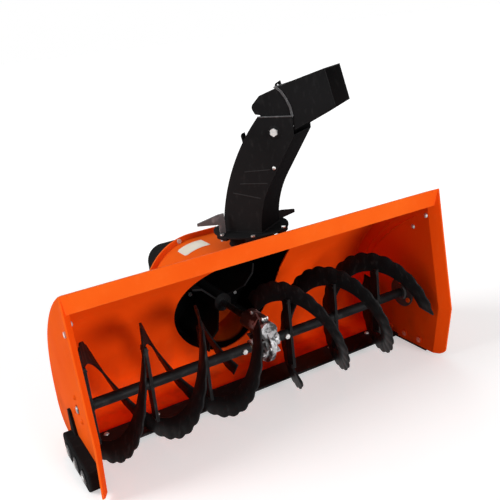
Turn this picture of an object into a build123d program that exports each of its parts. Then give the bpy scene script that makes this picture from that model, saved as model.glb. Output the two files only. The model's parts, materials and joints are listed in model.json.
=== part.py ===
"""Two-stage snow blower attachment: housing, ribbon auger, gearbox, impeller, turning chute and deflector.

Millimetres, +Z up. X runs across the machine, the front faces -Y, and Z is zero at the skid soles.
"""
import os
from math import asin, atan, atan2, cos, degrees, hypot, pi, radians, sin, sqrt, tan

from build123d import *

os.makedirs("parts", exist_ok=True)

# Housing
FRONT_WIDTH = 1067.0  # across the flared front edges
FLARE_OUT = 18.0  # how far a front edge stands out from its panel
FLARE_DEPTH = 31.0  # front edge to bend line
PANEL_T = 4.0
SHEET_T = 3.0
LIP_TOP_Y = -306.0
LIP_TOP_Z = 515.0
LIP_HEIGHT = 48.0
LIP_LEAN = 8.0  # how far the lip's lower edge stands back
FRONT_BEND_Y = -350.0  # foremost point of a panel's front edge
FRONT_BEND_Z = 165.0
TOE_Y = -324.0
TOE_RADIUS = 22.0
ROOF_SLOPE = 17.0
ROOF_RADIUS = 690.0
ROOF_TURN = 30.0
BACK_DROP = 22.0  # straight stretch between the back's curve and the heel
HEEL_RADIUS = 66.0
FLOOR_Z = 9.0  # underside of the floor
FLOOR_FRONT = -90.0
SCRAPER_OVERHANG = 52.0  # scraper ahead of the floor
SCRAPER_WIDTH = 85.0
SCRAPER_T = 5.0
SCRAPER_BEVEL = 3.0
SCRAPER_BOLTS = 7
SCRAPER_BOLT_R = 4.0
PANEL_BOLT_R = 4.0
PANEL_BOLT_SPOTS = ((-222.0, 392.0), (-275.0, 436.0))  # y and z

# Fits and fasteners
SHAFT_R = 9.525
RUN_GAP = 0.05  # radial clearance of a shaft in a bore
FACE_GAP = 0.4  # between faces that slide past each other
HOLE_GAP = 0.3  # radial clearance of a bolt
HEAD_SPREAD = 1.9  # bolt head's radius over its shank's
HEAD_RISE = 1.2  # bolt head's height over its shank's radius
EDGE_BREAK = 2.0  # chamfer on turned edges

# Auger
DRIVE_X = 10.0  # impeller axis and gearbox middle
AUGER_Y = -168.0
AUGER_R = 155.0
AUGER_RISE = 15.0  # lowest ribbon edge over the ground
RIBBON_WIDTH = 58.0
RIBBON_T = 5.0
RIBBON_PITCH = 312.0  # advance of a ribbon in a full turn
RIBBON_STARTS = 2
RIBBON_END_GAP = 24.5  # panel to a ribbon's outer end
LEFT_TOP_INSET = 28.5  # panel to where a left ribbon stands straight up at rest
RIGHT_TOP_INSET = 106.5  # panel to where a right ribbon stands straight up at rest
LEFT_INNER_GAP = 60.0  # gearbox middle to a left ribbon's inner end
RIGHT_INNER_GAP = 36.0  # gearbox middle to a right ribbon's inner end
TUBE_R = 14.0
TUBE_GAP = 0.3
TUBE_END_GAP = 11.5  # panel to a tube's outer end
TUBE_CASE_GAP = 4.0  # gearbox to a tube's inner end
SPOKE_WIDTH = 30.0
SPOKE_T = 8.0
SPOKE_WELD = 8.0  # how far a spoke reaches past a ribbon's inner edge
SHEAR_BOLT_R = 4.0
SHEAR_BOLT_INSET = 22.0
BEARING_FLANGE_R = 46.0
BEARING_FLANGE_T = 5.0
BEARING_BOSS_R = 22.0
BEARING_BOSS_T = 10.0
BEARING_BOLT_CIRCLE_R = 35.0
BEARING_BOLT_R = 4.0
BEARING_BOLTS = 3
SHAFT_END = 3.0  # cross shaft beyond the panels

# Gearbox
WORM_OFFSET = 45.0  # impeller axis above the auger axis
WHEEL_TEETH = 20
WORM_STARTS = 2
WHEEL_PITCH_R = 31.0
TOOTH_ADDENDUM = 2.9
TOOTH_DEDENDUM = 3.9
TOOTH_SLOT = 5.8
TOOTH_TIP_GAP = 0.7
WHEEL_WIDTH = 15.0
WORM_THREAD = 2.8
WORM_LENGTH = 32.0
JOURNAL_R = 7.0  # impeller shaft inside the worm
CASE_WALL = 6.0
CASE_ROOM = 2.5  # air around the gears
CASE_HALF_WIDTH = 42.0
CASE_REAR = 78.0  # worm housing behind the auger axis
CASE_RIM = 13.0
CASE_RIM_T = 6.0
CASE_BOLT_R = 3.0
BUSH_WALL = 4.0
BUSH_LENGTH = 18.0
JOURNAL_BUSH_LENGTH = 12.0
CASE_RIBS = 6
CASE_RIB_T = 5.0

# Impeller, drum and drive end
DRUM_R = 160.0
DRUM_T = 3.0
DRUM_REAR = 233.0
DRUM_SCROLL = 30.0  # how far the right wall stands out from the circle
DRUM_SCROLL_FROM = 50.0  # angle below the horizontal where the scroll leaves the circle
DRUM_CORNER_R = 26.0
DRUM_RIM = 16.0
BACK_PLATE_T = 4.0
DRUM_BOLT_R = 4.0
DRUM_BOLT_ANGLES = (105.0, 150.0, 180.0, 210.0, 250.0, 290.0)
BLADES = 4
BLADE_T = 5.0
BLADE_FRONT = 8.0
BLADE_SIDE_GAP = 9.0  # blade tips to the drum
BLADE_REAR_GAP = 13.0  # blades to the back plate
BLADE_TIP = 30.0  # length of a bent blade tip
BLADE_BEND = 32.0
THROAT_R = 75.0  # open middle at the blades' front edges
HUB_R = 28.0
HUB_FRONT = 60.0
HUB_REAR_GAP = 28.0  # hub to the back plate
DRIVE_FLANGE_R = 48.0
DRIVE_FLANGE_T = 6.0
DRIVE_BOSS_R = 27.0
DRIVE_BOSS_T = 20.0
DRIVE_BOLT_CIRCLE_R = 37.0
PULLEY_R = 82.0
PULLEY_T = 26.0
PULLEY_GAP = 7.0  # bearing to pulley
PULLEY_GROOVE = 14.0
PULLEY_GROOVE_FLOOR = 7.0
PULLEY_GROOVE_DEPTH = 12.0
WASHER_R = 17.0
WASHER_T = 3.0
PULLEY_BOLT_R = 5.0
PULLEY_BOLT_LENGTH = 25.0
GUARD_HALF_WIDTH = 122.0
GUARD_ABOVE = 142.0  # guard's top over the impeller axis
GUARD_BELOW = 105.0
GUARD_CORNER_R = 52.0
GUARD_T = 2.5
GUARD_FLANGE = 12.0
GUARD_DEPTH = 85.0
GUARD_BOLT_R = 3.0
GUARD_BOLT_RISE = 60.0

# Chute
NECK_INSET = 4.0  # neck's bore to the drum's right wall
NECK_Y = 58.0
NECK_R = 64.0
NECK_WALL = 3.0
NECK_HEIGHT = 44.0
NECK_FLANGE_R = 100.0
NECK_FLANGE_T = 4.0
CHUTE_TURN = 33.0  # throw direction at rest, from -Y towards +X
CHUTE_FLANGE_R = 112.0
CHUTE_FLANGE_T = 4.0
CHUTE_HOLE_R = 55.0
CHUTE_WIDTH = 120.0
CHUTE_WALL = 3.0
CHUTE_HEIGHT = 330.6  # flange to the top of the cheeks
CHUTE_BACK = -59.0  # back wall at the base, along the throw
CHUTE_FRONT = 66.0  # front wall at the base, along the throw
CHUTE_BACK_RADIUS = 580.0
CHUTE_BACK_LEAN = 5.7
CHUTE_FRONT_RADIUS = 280.0
CHUTE_FRONT_LEAN = 32.0
CHEEK_RISE = 51.0  # cheeks over the front wall's top edge
KEEPER_ANGLES = (-170.0, -115.0, -60.0, 0.0, 90.0)
KEEPER_SPAN = 24.0
KEEPER_T = 3.5
KEEPER_GRIP = 8.0  # how far a keeper reaches under the neck's flange
KEEPER_BOLT_R = 3.5
ARM_T = 5.0
ARM_FOOT = 86.0  # turning arm's inner edge from the chute's axis
ARM_WIDTH = 18.0
ARM_REACH = 172.0  # turning arm's tip from the chute's axis
ARM_HEIGHT = 60.0
ARM_ROOT = 31.0  # height of the arm where it leaves its post
ARM_TIP = 8.0
LUG_FOOT = 92.0
LUG_REACH = 156.0
LUG_HEIGHT = 24.0
LUG_TIP = 10.0
STOP_DROP = 100.0  # cable stop under the top of the cheeks
STOP_LENGTH = 34.0
STOP_REACH = 30.0
STOP_RISE = 30.0  # how far the finger leans up the wall
STOP_WIDTH = 20.0
STOP_T = 4.0
CABLE_R = 3.0

# Deflector
PIVOT_S = 135.0  # pivot along the throw
PIVOT_DROP = 41.0  # pivot under the top of the cheeks
PIVOT_R = 6.0
EAR_R = 24.0
DEFLECTOR_DROP = 50.0  # how far the deflector tips down
RELIEF_GAP = 1.5  # room round the front wall's edge as the deflector tips
RELIEF_SPARE = 4.0  # spare angle at the end of that room
HOOD_T = 3.0
HOOD_GAP = 0.6  # hood's side to cheek
HOOD_BEND_R = 14.0
HOOD_HEEL = (-6.9, 7.0)  # hood's side outline from the back wall's top edge, along the throw and up
HOOD_BACK = (-19.3, 27.0)
HOOD_CROWN = (9.8, 56.0)
HOOD_BROW = (99.0, 88.0)
OUTLET_TOP = (200.0, 117.0)
OUTLET_LOW = (223.0, 23.0)
HOOD_UNDER = (162.0, -9.0)
HOOD_SHOULDER = (7.7, 5.0)
TAB_FROM = 0.23  # cable tab's place between crown and brow
TAB_TO = 0.49
TAB_T = 4.0
TAB_HEIGHT = 16.0

# Skids and hitch
SKID_FRONT = -284.0
SKID_REAR = -64.0
SKID_T = 30.0
SKID_TOP = 68.0
SKID_CORNER_R = 14.0
SKID_BEVEL = 3.0
SKID_UPTURN = 34.0  # length of an upturned end
SKID_UPTURN_ANGLE = 38.0
SKID_TRAVEL = 20.0
SKID_BOLT_Y = (-238.0, -174.0, -110.0)
SKID_BOLT_Z = 32.0
SKID_BOLT_R = 5.0
SKID_TAB_TOP = 128.0
SKID_TAB_ROOT = 52.0  # foot of the rear tab along the shoe
SKID_TAB_WIDTH = 22.0
SKID_TAB_T = 7.0
HITCH_GAP = 12.0  # drum's rim to a hitch plate
HITCH_T = 8.0
HITCH_REAR = 350.0
HITCH_TOP = 205.0
HITCH_SHOULDER = 125.0
HITCH_FOOT = 250.0  # front end of a hitch plate's foot
HITCH_PIN_Y = 316.0
HITCH_PIN_Z = 82.0
HITCH_PIN_R = 8.25
HITCH_PIN_EDGE = 25.0  # plate above the pin's bore
HITCH_TUBE = 40.0
HITCH_TUBE_WALL = 4.0
HITCH_TUBE_Y = 285.0
HITCH_TUBE_Z = 26.0

# Worked-out places on the housing and drive line
side_names = ((-1, "left"), (1, "right"))
panel_outer = FRONT_WIDTH / 2 - FLARE_OUT
panel_inner = panel_outer - PANEL_T
lip_top = (LIP_TOP_Y, LIP_TOP_Z)
lip_low = (LIP_TOP_Y + LIP_LEAN, LIP_TOP_Z - LIP_HEIGHT)
panel_front = (lip_top, (FRONT_BEND_Y, FRONT_BEND_Z), (TOE_Y, FLOOR_Z))
floor_top = FLOOR_Z + SHEET_T
scraper_front = FLOOR_FRONT - SCRAPER_OVERHANG
scraper_bolt_y = (FLOOR_FRONT + scraper_front + SCRAPER_WIDTH) / 2
scraper_bolt_pitch = 2 * panel_inner / SCRAPER_BOLTS
roof_start = radians(ROOF_SLOPE)
roof_end = radians(ROOF_SLOPE + ROOF_TURN)
roof_end_y = LIP_TOP_Y + ROOF_RADIUS * (sin(roof_end) - sin(roof_start))
roof_end_z = LIP_TOP_Z - ROOF_RADIUS * (cos(roof_start) - cos(roof_end))
back_radius = (roof_end_z - FLOOR_Z - HEEL_RADIUS - BACK_DROP) / cos(roof_end)
back_y = roof_end_y + back_radius * (1 - sin(roof_end))
auger_z = AUGER_R + AUGER_RISE
drive_z = auger_z + WORM_OFFSET
ribbon_inner_r = AUGER_R - RIBBON_WIDTH
ribbon_top_x = {-1: LEFT_TOP_INSET - panel_inner, 1: panel_inner - RIGHT_TOP_INSET}
ribbon_inner_x = {-1: DRIVE_X - LEFT_INNER_GAP, 1: DRIVE_X + RIGHT_INNER_GAP}
tube_inner_x = {side: DRIVE_X + side * (CASE_HALF_WIDTH + TUBE_CASE_GAP) for side in (-1, 1)}
shaft_half = panel_outer + SHAFT_END
worm_lead = 2 * pi * WHEEL_PITCH_R * WORM_STARTS / WHEEL_TEETH
wheel_tip_r = WHEEL_PITCH_R + TOOTH_ADDENDUM
wheel_root_r = WHEEL_PITCH_R - TOOTH_DEDENDUM
worm_core_r = WORM_OFFSET - wheel_tip_r - TOOTH_TIP_GAP
worm_tip_r = WORM_OFFSET - wheel_root_r - TOOTH_TIP_GAP
case_front = WORM_LENGTH / 2 + CASE_ROOM + JOURNAL_BUSH_LENGTH + CASE_WALL
worm_front = AUGER_Y - WORM_LENGTH / 2
worm_rear = AUGER_Y + WORM_LENGTH / 2
drum_wall = DRUM_R + DRUM_SCROLL
drum_top = drive_z + DRUM_R + DRUM_T
blade_r = DRUM_R - BLADE_SIDE_GAP
blade_rear = DRUM_REAR - BLADE_REAR_GAP
hub_rear = DRUM_REAR - HUB_REAR_GAP
plate_rear = DRUM_REAR + BACK_PLATE_T
pulley_front = plate_rear + DRIVE_BOSS_T + PULLEY_GAP
shaft_rear = pulley_front + PULLEY_T
hitch_x = DRIVE_X + drum_wall + DRUM_T + DRUM_RIM + HITCH_GAP + HITCH_T / 2

# Worked-out places on the chute
neck_x = DRIVE_X + drum_wall - NECK_INSET - NECK_R
neck_top = drum_top + NECK_HEIGHT
flange_low = neck_top + FACE_GAP
chute_base = flange_low + CHUTE_FLANGE_T
cheek_top = chute_base + CHUTE_HEIGHT
throw_x = sin(radians(CHUTE_TURN))
throw_y = -cos(radians(CHUTE_TURN))
chute_side = Plane((neck_x, NECK_Y, 0), x_dir=(throw_x, throw_y, 0), z_dir=(throw_y, -throw_x, 0))
chute_round = Plane((neck_x, NECK_Y, 0), x_dir=(throw_x, throw_y, 0), z_dir=(0, 0, 1))
back_lean = radians(CHUTE_BACK_LEAN)
front_lean = radians(CHUTE_FRONT_LEAN)
front_bend_s = CHUTE_FRONT + CHUTE_FRONT_RADIUS * (1 - cos(front_lean))
front_bend_z = chute_base + CHUTE_FRONT_RADIUS * sin(front_lean)
front_top_z = cheek_top - CHEEK_RISE
front_top = (front_bend_s + (front_top_z - front_bend_z) * tan(front_lean), front_top_z)
pivot = (PIVOT_S, cheek_top - PIVOT_DROP)
hood_half = CHUTE_WIDTH / 2 - CHUTE_WALL - HOOD_GAP


def back_wall(z):
    """Lean of the chute's back wall at a height, and its outer face along the throw."""
    lean = asin((z - chute_base) / CHUTE_BACK_RADIUS + sin(back_lean))
    return lean, CHUTE_BACK + CHUTE_BACK_RADIUS * (cos(back_lean) - cos(lean))


back_top_lean, back_top = back_wall(cheek_top)


def save(piece, name):
    """Label a finished piece and write it to its own file."""
    piece.part.label = name
    export_step(piece.part, f"parts/{name}.step")


def across(x, y, z, side=1):
    """Plane at a point, facing out along +X or -X."""
    return Plane((x, y, z), x_dir=(0, 1, 0), z_dir=(side, 0, 0))


def along(x, y, z, side=1):
    """Plane at a point, facing out along +Y or -Y."""
    return Plane((x, y, z), x_dir=(1, 0, 0), z_dir=(0, side, 0))


def disc(plane, radius, height, mode=Mode.ADD):
    """Round boss or hole on a plane, along its normal."""
    with BuildSketch(plane) as circle:
        Circle(radius)
    extrude(circle.sketch, amount=height, mode=mode)


def bore(planes, radius, depth):
    """Round holes, down from each plane."""
    for plane in planes:
        disc(plane, radius, -depth, Mode.SUBTRACT)


def hex_prism(plane, radius, height):
    """Six-sided head or nut on a plane."""
    with BuildSketch(plane) as hexagon:
        RegularPolygon(radius, 6)
    extrude(hexagon.sketch, amount=height)


def dome(plane, radius, height):
    """Round head on a plane: a slice of a ball."""
    ball_r = (radius**2 + height**2) / (2 * height)
    with BuildSketch(Plane(plane.origin, x_dir=plane.x_dir, z_dir=-plane.y_dir)) as half:
        with BuildLine():
            cap = JernArc((0, height), (1, 0), ball_r, -degrees(asin(radius / ball_r)))
            Polyline(cap @ 1, (0, 0), (0, height))
        make_face()
    revolve(half.sketch, axis=Axis(plane.origin, plane.z_dir))


def bolts(planes, name, shank_r, grip, domed=False):
    """A group of bolts whose heads seat on the planes, with nuts at the far end of the grip."""
    head_r = HEAD_SPREAD * shank_r
    head_h = HEAD_RISE * shank_r
    with BuildPart() as group:
        for plane in planes:
            if domed:
                dome(plane, head_r, head_h)
            else:
                hex_prism(plane, head_r, head_h)
            disc(plane, shank_r, -grip)
            hex_prism(plane.offset(-grip), head_r, -head_h)
    save(group, name)


def sheet_line():
    """Outer line of the rolled sheet, from the lip's top corner to the floor's front edge."""
    roof = JernArc(lip_top, (cos(roof_start), -sin(roof_start)), ROOF_RADIUS, -ROOF_TURN)
    back = JernArc(roof @ 1, roof % 1, back_radius, ROOF_SLOPE + ROOF_TURN - 90)
    drop = Line(back @ 1, (back_y, FLOOR_Z + HEEL_RADIUS))
    heel = JernArc(drop @ 1, (0, -1), HEEL_RADIUS, -90)
    Line(heel @ 1, (FLOOR_FRONT, FLOOR_Z))


def sheet_section():
    """Rolled sheet in section."""
    with BuildSketch(Plane.YZ) as section:
        with BuildLine():
            Line(lip_low, lip_top)
            sheet_line()
            offset(amount=SHEET_T, side=Side.RIGHT)
        make_face()
    return section.sketch


def housing_fill():
    """Outline of the space under the rolled sheet and ahead of it."""
    with BuildSketch(Plane.YZ) as fill:
        with BuildLine():
            sheet_line()
            Polyline((FLOOR_FRONT, FLOOR_Z), (FRONT_BEND_Y, FLOOR_Z), (FRONT_BEND_Y, LIP_TOP_Z), lip_top)
        make_face()
    return fill.sketch


def panel_outline(x):
    """Side panel's outline with its front edge and rounded toe, at a distance across."""
    with BuildSketch(across(x, 0, 0)) as outline:
        with BuildLine():
            Line(lip_low, lip_top)
            sheet_line()
            Line((FLOOR_FRONT, FLOOR_Z), lip_low)
        make_face()
        with BuildLine():
            Polyline(*panel_front, (FLOOR_FRONT, FLOOR_Z), lip_low, close=True)
        make_face()
        toe = outline.vertices().group_by(Axis.Y)[0].sort_by(Axis.X)[0]
        fillet(toe, TOE_RADIUS)
    return outline.sketch


def flare_face(side, x, upper, lower):
    """Slanted strip from a panel's bend line out to its front edge."""
    bend_x = side * x
    edge_x = side * (x + FLARE_OUT)
    corners = [(bend_x, upper[0] + FLARE_DEPTH, upper[1]), (bend_x, lower[0] + FLARE_DEPTH, lower[1]),
               (edge_x, *lower), (edge_x, *upper)]
    return Face(Wire.make_polygon(corners))


def volute(y, grow):
    """Drum outline at a depth: a circle whose right side opens out to a straight wall."""
    radius = DRUM_R + grow
    wall = drum_wall + grow
    leave = radians(DRUM_SCROLL_FROM)
    with BuildSketch(along(DRIVE_X, y, drive_z, -1)) as outline:
        with BuildLine():
            around = CenterArc((0, 0), radius, 90, 270 - DRUM_SCROLL_FROM)
            scroll_r = (wall - radius * cos(leave)) / (1 - cos(leave))
            scroll = JernArc(around @ 1, (sin(leave), cos(leave)), scroll_r, DRUM_SCROLL_FROM)
            rise = Line(scroll @ 1, (wall, DRUM_R - DRUM_CORNER_R))
            corner = JernArc(rise @ 1, (0, 1), DRUM_CORNER_R + grow, 90)
            Line(corner @ 1, (0, radius))
        make_face()
    return outline.sketch


def helix(start, axis, outward, pitch, height, radius, lefthand):
    """Helix about an axis through a point, starting on its outward side."""
    return Plane(start, x_dir=outward, z_dir=axis) * Helix(pitch, height, radius, lefthand=lefthand)


def circle_seats(place, circle_r):
    """Bolt places evenly round a flange, from its top."""
    turns = [radians(90 + 360 * i / BEARING_BOLTS) for i in range(BEARING_BOLTS)]
    return [place(circle_r * cos(turn), circle_r * sin(turn)) for turn in turns]


# Space inside the housing, which trims what is welded to its back
with BuildPart() as inside:
    extrude(housing_fill(), amount=FRONT_WIDTH / 2, both=True)

# Rolled sheet: lip, roof, back, heel and floor in one piece, with lip ends that reach the panels' flares
scraper_x = [scraper_bolt_pitch * (i - (SCRAPER_BOLTS - 1) / 2) for i in range(SCRAPER_BOLTS)]
scraper_seats = [Plane((x, scraper_bolt_y, floor_top + SCRAPER_T)) for x in scraper_x]

with BuildPart() as lip_ends:
    for side, word in side_names:
        extrude(flare_face(side, panel_inner, *panel_front[:2]), amount=FLARE_OUT, dir=(-side, 0, 0))
    extrude(sheet_section(), amount=FRONT_WIDTH / 2, both=True, mode=Mode.INTERSECT)

with BuildPart() as housing_sheet:
    extrude(sheet_section(), amount=panel_inner, both=True)
    add(lip_ends.part)
    extrude(volute(0, 0), amount=DRUM_REAR, both=True, mode=Mode.SUBTRACT)
    bore(scraper_seats, SCRAPER_BOLT_R + HOLE_GAP, SCRAPER_T + SHEET_T)
save(housing_sheet, "housing_sheet")

with BuildPart() as scraper_blade:
    with BuildSketch(Plane.XY.offset(floor_top)):
        with Locations((0, scraper_front + SCRAPER_WIDTH / 2)):
            Rectangle(2 * panel_inner, SCRAPER_WIDTH)
    extrude(amount=SCRAPER_T)
    front_edges = scraper_blade.edges().filter_by(Axis.X).group_by(Axis.Y)[0]
    chamfer(front_edges.sort_by(Axis.Z)[-1], length=SCRAPER_BEVEL)
    bore(scraper_seats, SCRAPER_BOLT_R + HOLE_GAP, SCRAPER_T)
save(scraper_blade, "scraper_blade")
bolts(scraper_seats, "scraper_bolts", SCRAPER_BOLT_R, SCRAPER_T + SHEET_T, domed=True)


def bearing_seats(side):
    """Bolt places on a panel's outer face, round an auger bearing."""
    x = side * panel_outer
    return circle_seats(lambda v, w: across(x, AUGER_Y + v, auger_z + w, side), BEARING_BOLT_CIRCLE_R)


def panel_seats(side):
    """Bolt places on a panel's inner face."""
    return [across(side * panel_inner, y, z, -side) for y, z in PANEL_BOLT_SPOTS]


def skid_seats(side):
    """Bolt places on a skid's outer face."""
    x = side * (panel_outer + SKID_T + 2 * FACE_GAP)
    return [across(x, y, SKID_BOLT_Z, side) for y in SKID_BOLT_Y]


def side_panel(side, name):
    """Side panel: a flat plate, and a front strip bent outwards."""
    with BuildPart() as flare:
        for upper, lower in zip(panel_front, panel_front[1:]):
            extrude(flare_face(side, panel_outer, upper, lower), amount=PANEL_T, dir=(-side, 0, 0))
        extrude(panel_outline(0), amount=FRONT_WIDTH, both=True, mode=Mode.INTERSECT)
    bend = [(y + FLARE_DEPTH, z) for y, z in panel_front]
    with BuildSketch(across(side * panel_inner, 0, 0)) as ahead:
        with BuildLine():
            front_y = FRONT_BEND_Y - FLARE_DEPTH
            above = LIP_TOP_Z + FLARE_DEPTH
            below = FLOOR_Z - FLARE_DEPTH
            Polyline(*bend, (bend[-1][0], below), (front_y, below), (front_y, above),
                     (bend[0][0], above), close=True)
        make_face()
    with BuildPart() as panel:
        extrude(panel_outline(side * panel_inner), amount=side * PANEL_T)
        extrude(ahead.sketch, amount=side * PANEL_T, mode=Mode.SUBTRACT)
        add(flare.part)
        disc(across(side * panel_outer, AUGER_Y, auger_z, side), SHAFT_R + PANEL_T, -PANEL_T, Mode.SUBTRACT)
        bore(bearing_seats(side), BEARING_BOLT_R + HOLE_GAP, PANEL_T)
        bore(panel_seats(side), PANEL_BOLT_R + HOLE_GAP, PANEL_T)
        bore(skid_seats(side), SKID_BOLT_R + HOLE_GAP, SKID_T + 2 * FACE_GAP + PANEL_T)
    save(panel, name)


def flanged_bearing(seat, bolt_seats, name, flange_r, flange_t, boss_r, boss_t):
    """Bearing with a bolted flange and a bore for a shaft."""
    with BuildPart() as bearing:
        disc(seat, flange_r, flange_t)
        disc(seat, boss_r, boss_t)
        outward = Axis(seat.origin, seat.z_dir)
        chamfer(bearing.edges().filter_by(GeomType.CIRCLE).sort_by(outward)[-1], length=EDGE_BREAK)
        disc(seat, SHAFT_R + RUN_GAP, boss_t, Mode.SUBTRACT)
        bore(bolt_seats, BEARING_BOLT_R + HOLE_GAP, flange_t + PANEL_T)
    save(bearing, name)


def skid_shoe(side, name):
    """Skid: a thick shoe with upturned ends, slots for height and a rear tab against the panel."""
    near = side * (panel_outer + FACE_GAP)
    rise = radians(SKID_UPTURN_ANGLE)
    flat_front = SKID_FRONT + SKID_UPTURN * cos(rise)
    flat_rear = SKID_REAR - SKID_UPTURN * cos(rise)
    end_z = SKID_UPTURN * sin(rise)
    with BuildPart() as skid:
        with BuildSketch(across(near, 0, 0)) as shoe:
            with BuildLine():
                Polyline((flat_front, 0), (flat_rear, 0), (SKID_REAR, end_z), (SKID_REAR, SKID_TOP),
                         (SKID_FRONT, SKID_TOP), (SKID_FRONT, end_z), close=True)
            make_face()
            fillet(shoe.vertices().group_by(Axis.Y)[-1], SKID_CORNER_R)
        extrude(shoe.sketch, amount=side * SKID_T)
        outer_face = skid.faces().sort_by(Axis.X)[-1 if side > 0 else 0]
        chamfer(outer_face.edges(), length=SKID_BEVEL)
        with BuildSketch(across(near, 0, 0)) as tab:
            with BuildLine():
                tab_foot = SKID_TOP - SKID_CORNER_R
                Polyline((SKID_REAR - SKID_TAB_ROOT, tab_foot), (SKID_REAR - SKID_TAB_WIDTH, SKID_TAB_TOP),
                         (SKID_REAR - SKID_TAB_T, SKID_TAB_TOP), (SKID_REAR, tab_foot), close=True)
            make_face()
        extrude(tab.sketch, amount=side * SKID_TAB_T)
        for y in SKID_BOLT_Y:
            with BuildSketch(across(near, y, SKID_BOLT_Z + SKID_TRAVEL / 2)) as slot:
                SlotCenterToCenter(SKID_TRAVEL, 2 * (SKID_BOLT_R + HOLE_GAP), rotation=90)
            extrude(slot.sketch, amount=side * SKID_T, mode=Mode.SUBTRACT)
    save(skid, name)


for side, word in side_names:
    side_panel(side, f"{word}_side_panel")
    bearing_seat = across(side * panel_inner, AUGER_Y, auger_z, -side)
    flanged_bearing(bearing_seat, bearing_seats(side), f"{word}_auger_bearing",
                    BEARING_FLANGE_R, BEARING_FLANGE_T, BEARING_BOSS_R, BEARING_BOSS_T)
    skid_shoe(side, f"{word}_skid_shoe")

bolts(bearing_seats(-1) + bearing_seats(1), "auger_bearing_bolts", BEARING_BOLT_R,
      BEARING_FLANGE_T + PANEL_T, domed=True)
bolts(panel_seats(-1) + panel_seats(1), "panel_bolts", PANEL_BOLT_R, PANEL_T, domed=True)
bolts(skid_seats(-1) + skid_seats(1), "skid_bolts", SKID_BOLT_R, SKID_T + 2 * FACE_GAP + PANEL_T)

# Impeller drum, open at the front where it meets the housing and at the top where the neck stands
rim_r = DRUM_R + DRUM_T + DRUM_RIM / 2
rim_spots = [(rim_r * cos(radians(a)), rim_r * sin(radians(a))) for a in DRUM_BOLT_ANGLES]
rim_spots += [(drum_wall + DRUM_T + DRUM_RIM / 2, DRUM_R / 2), (drum_wall / 2, rim_r)]
rim_seats = [along(DRIVE_X + u, plate_rear, drive_z + w) for u, w in rim_spots]

with BuildPart() as drum_block:
    extrude(volute(LIP_TOP_Y, DRUM_T), amount=LIP_TOP_Y - DRUM_REAR)

with BuildPart() as impeller_drum:
    add(drum_block.part)
    extrude(volute(DRUM_REAR - DRUM_T, DRUM_T + DRUM_RIM), amount=-DRUM_T)
    extrude(volute(LIP_TOP_Y, 0), amount=LIP_TOP_Y - DRUM_REAR, mode=Mode.SUBTRACT)
    add(inside.part, mode=Mode.SUBTRACT)
    disc(Plane((neck_x, NECK_Y, drum_top)), NECK_R, -2 * (DRUM_CORNER_R + DRUM_T), Mode.SUBTRACT)
    bore(rim_seats, DRUM_BOLT_R + HOLE_GAP, BACK_PLATE_T + DRUM_T)
save(impeller_drum, "impeller_drum")

drive_flange = plate_rear + DRIVE_FLANGE_T
drive_seats = circle_seats(lambda u, w: along(DRIVE_X + u, drive_flange, drive_z + w), DRIVE_BOLT_CIRCLE_R)
guard_bolt_u = GUARD_HALF_WIDTH + GUARD_FLANGE / 2
guard_spots = [(u, w) for u in (-guard_bolt_u, guard_bolt_u) for w in (-GUARD_BOLT_RISE, GUARD_BOLT_RISE)]
guard_seats = [along(DRIVE_X + u, plate_rear + GUARD_T, drive_z + w) for u, w in guard_spots]

with BuildPart() as drum_back_plate:
    extrude(volute(DRUM_REAR, DRUM_T + DRUM_RIM), amount=-BACK_PLATE_T)
    disc(along(DRIVE_X, plate_rear, drive_z), SHAFT_R + BACK_PLATE_T, -BACK_PLATE_T, Mode.SUBTRACT)
    bore(rim_seats, DRUM_BOLT_R + HOLE_GAP, BACK_PLATE_T)
    bore(drive_seats, BEARING_BOLT_R + HOLE_GAP, DRIVE_FLANGE_T + BACK_PLATE_T)
    bore(guard_seats, GUARD_BOLT_R + HOLE_GAP, GUARD_T + BACK_PLATE_T)
save(drum_back_plate, "drum_back_plate")
bolts(rim_seats, "drum_bolts", DRUM_BOLT_R, BACK_PLATE_T + DRUM_T)

flanged_bearing(along(DRIVE_X, plate_rear, drive_z), drive_seats, "impeller_bearing",
                DRIVE_FLANGE_R, DRIVE_FLANGE_T, DRIVE_BOSS_R, DRIVE_BOSS_T)
bolts(drive_seats, "impeller_bearing_bolts", BEARING_BOLT_R, DRIVE_FLANGE_T + BACK_PLATE_T)


def guard_outline(grow, foot):
    """Belt guard's outline on the back plate, down to its open foot."""
    half = GUARD_HALF_WIDTH + grow
    top = GUARD_ABOVE + grow
    with BuildSketch(along(DRIVE_X, plate_rear, drive_z, -1)) as outline:
        with BuildLine():
            corners = ((-half, foot), (-half, top), (half, top), (half, foot))
            FilletPolyline(*corners, radius=GUARD_CORNER_R + grow)
            Line(corners[-1], corners[0])
        make_face()
    return outline.sketch


with BuildPart() as belt_guard:
    extrude(guard_outline(0, -GUARD_BELOW), amount=-GUARD_DEPTH)
    extrude(guard_outline(GUARD_FLANGE, -GUARD_BELOW), amount=-GUARD_T)
    extrude(guard_outline(-GUARD_T, -GUARD_BELOW - GUARD_T), amount=GUARD_T - GUARD_DEPTH, mode=Mode.SUBTRACT)
    bore(guard_seats, GUARD_BOLT_R + HOLE_GAP, GUARD_T)
save(belt_guard, "belt_guard")
bolts(guard_seats, "belt_guard_bolts", GUARD_BOLT_R, GUARD_T + BACK_PLATE_T)

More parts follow.
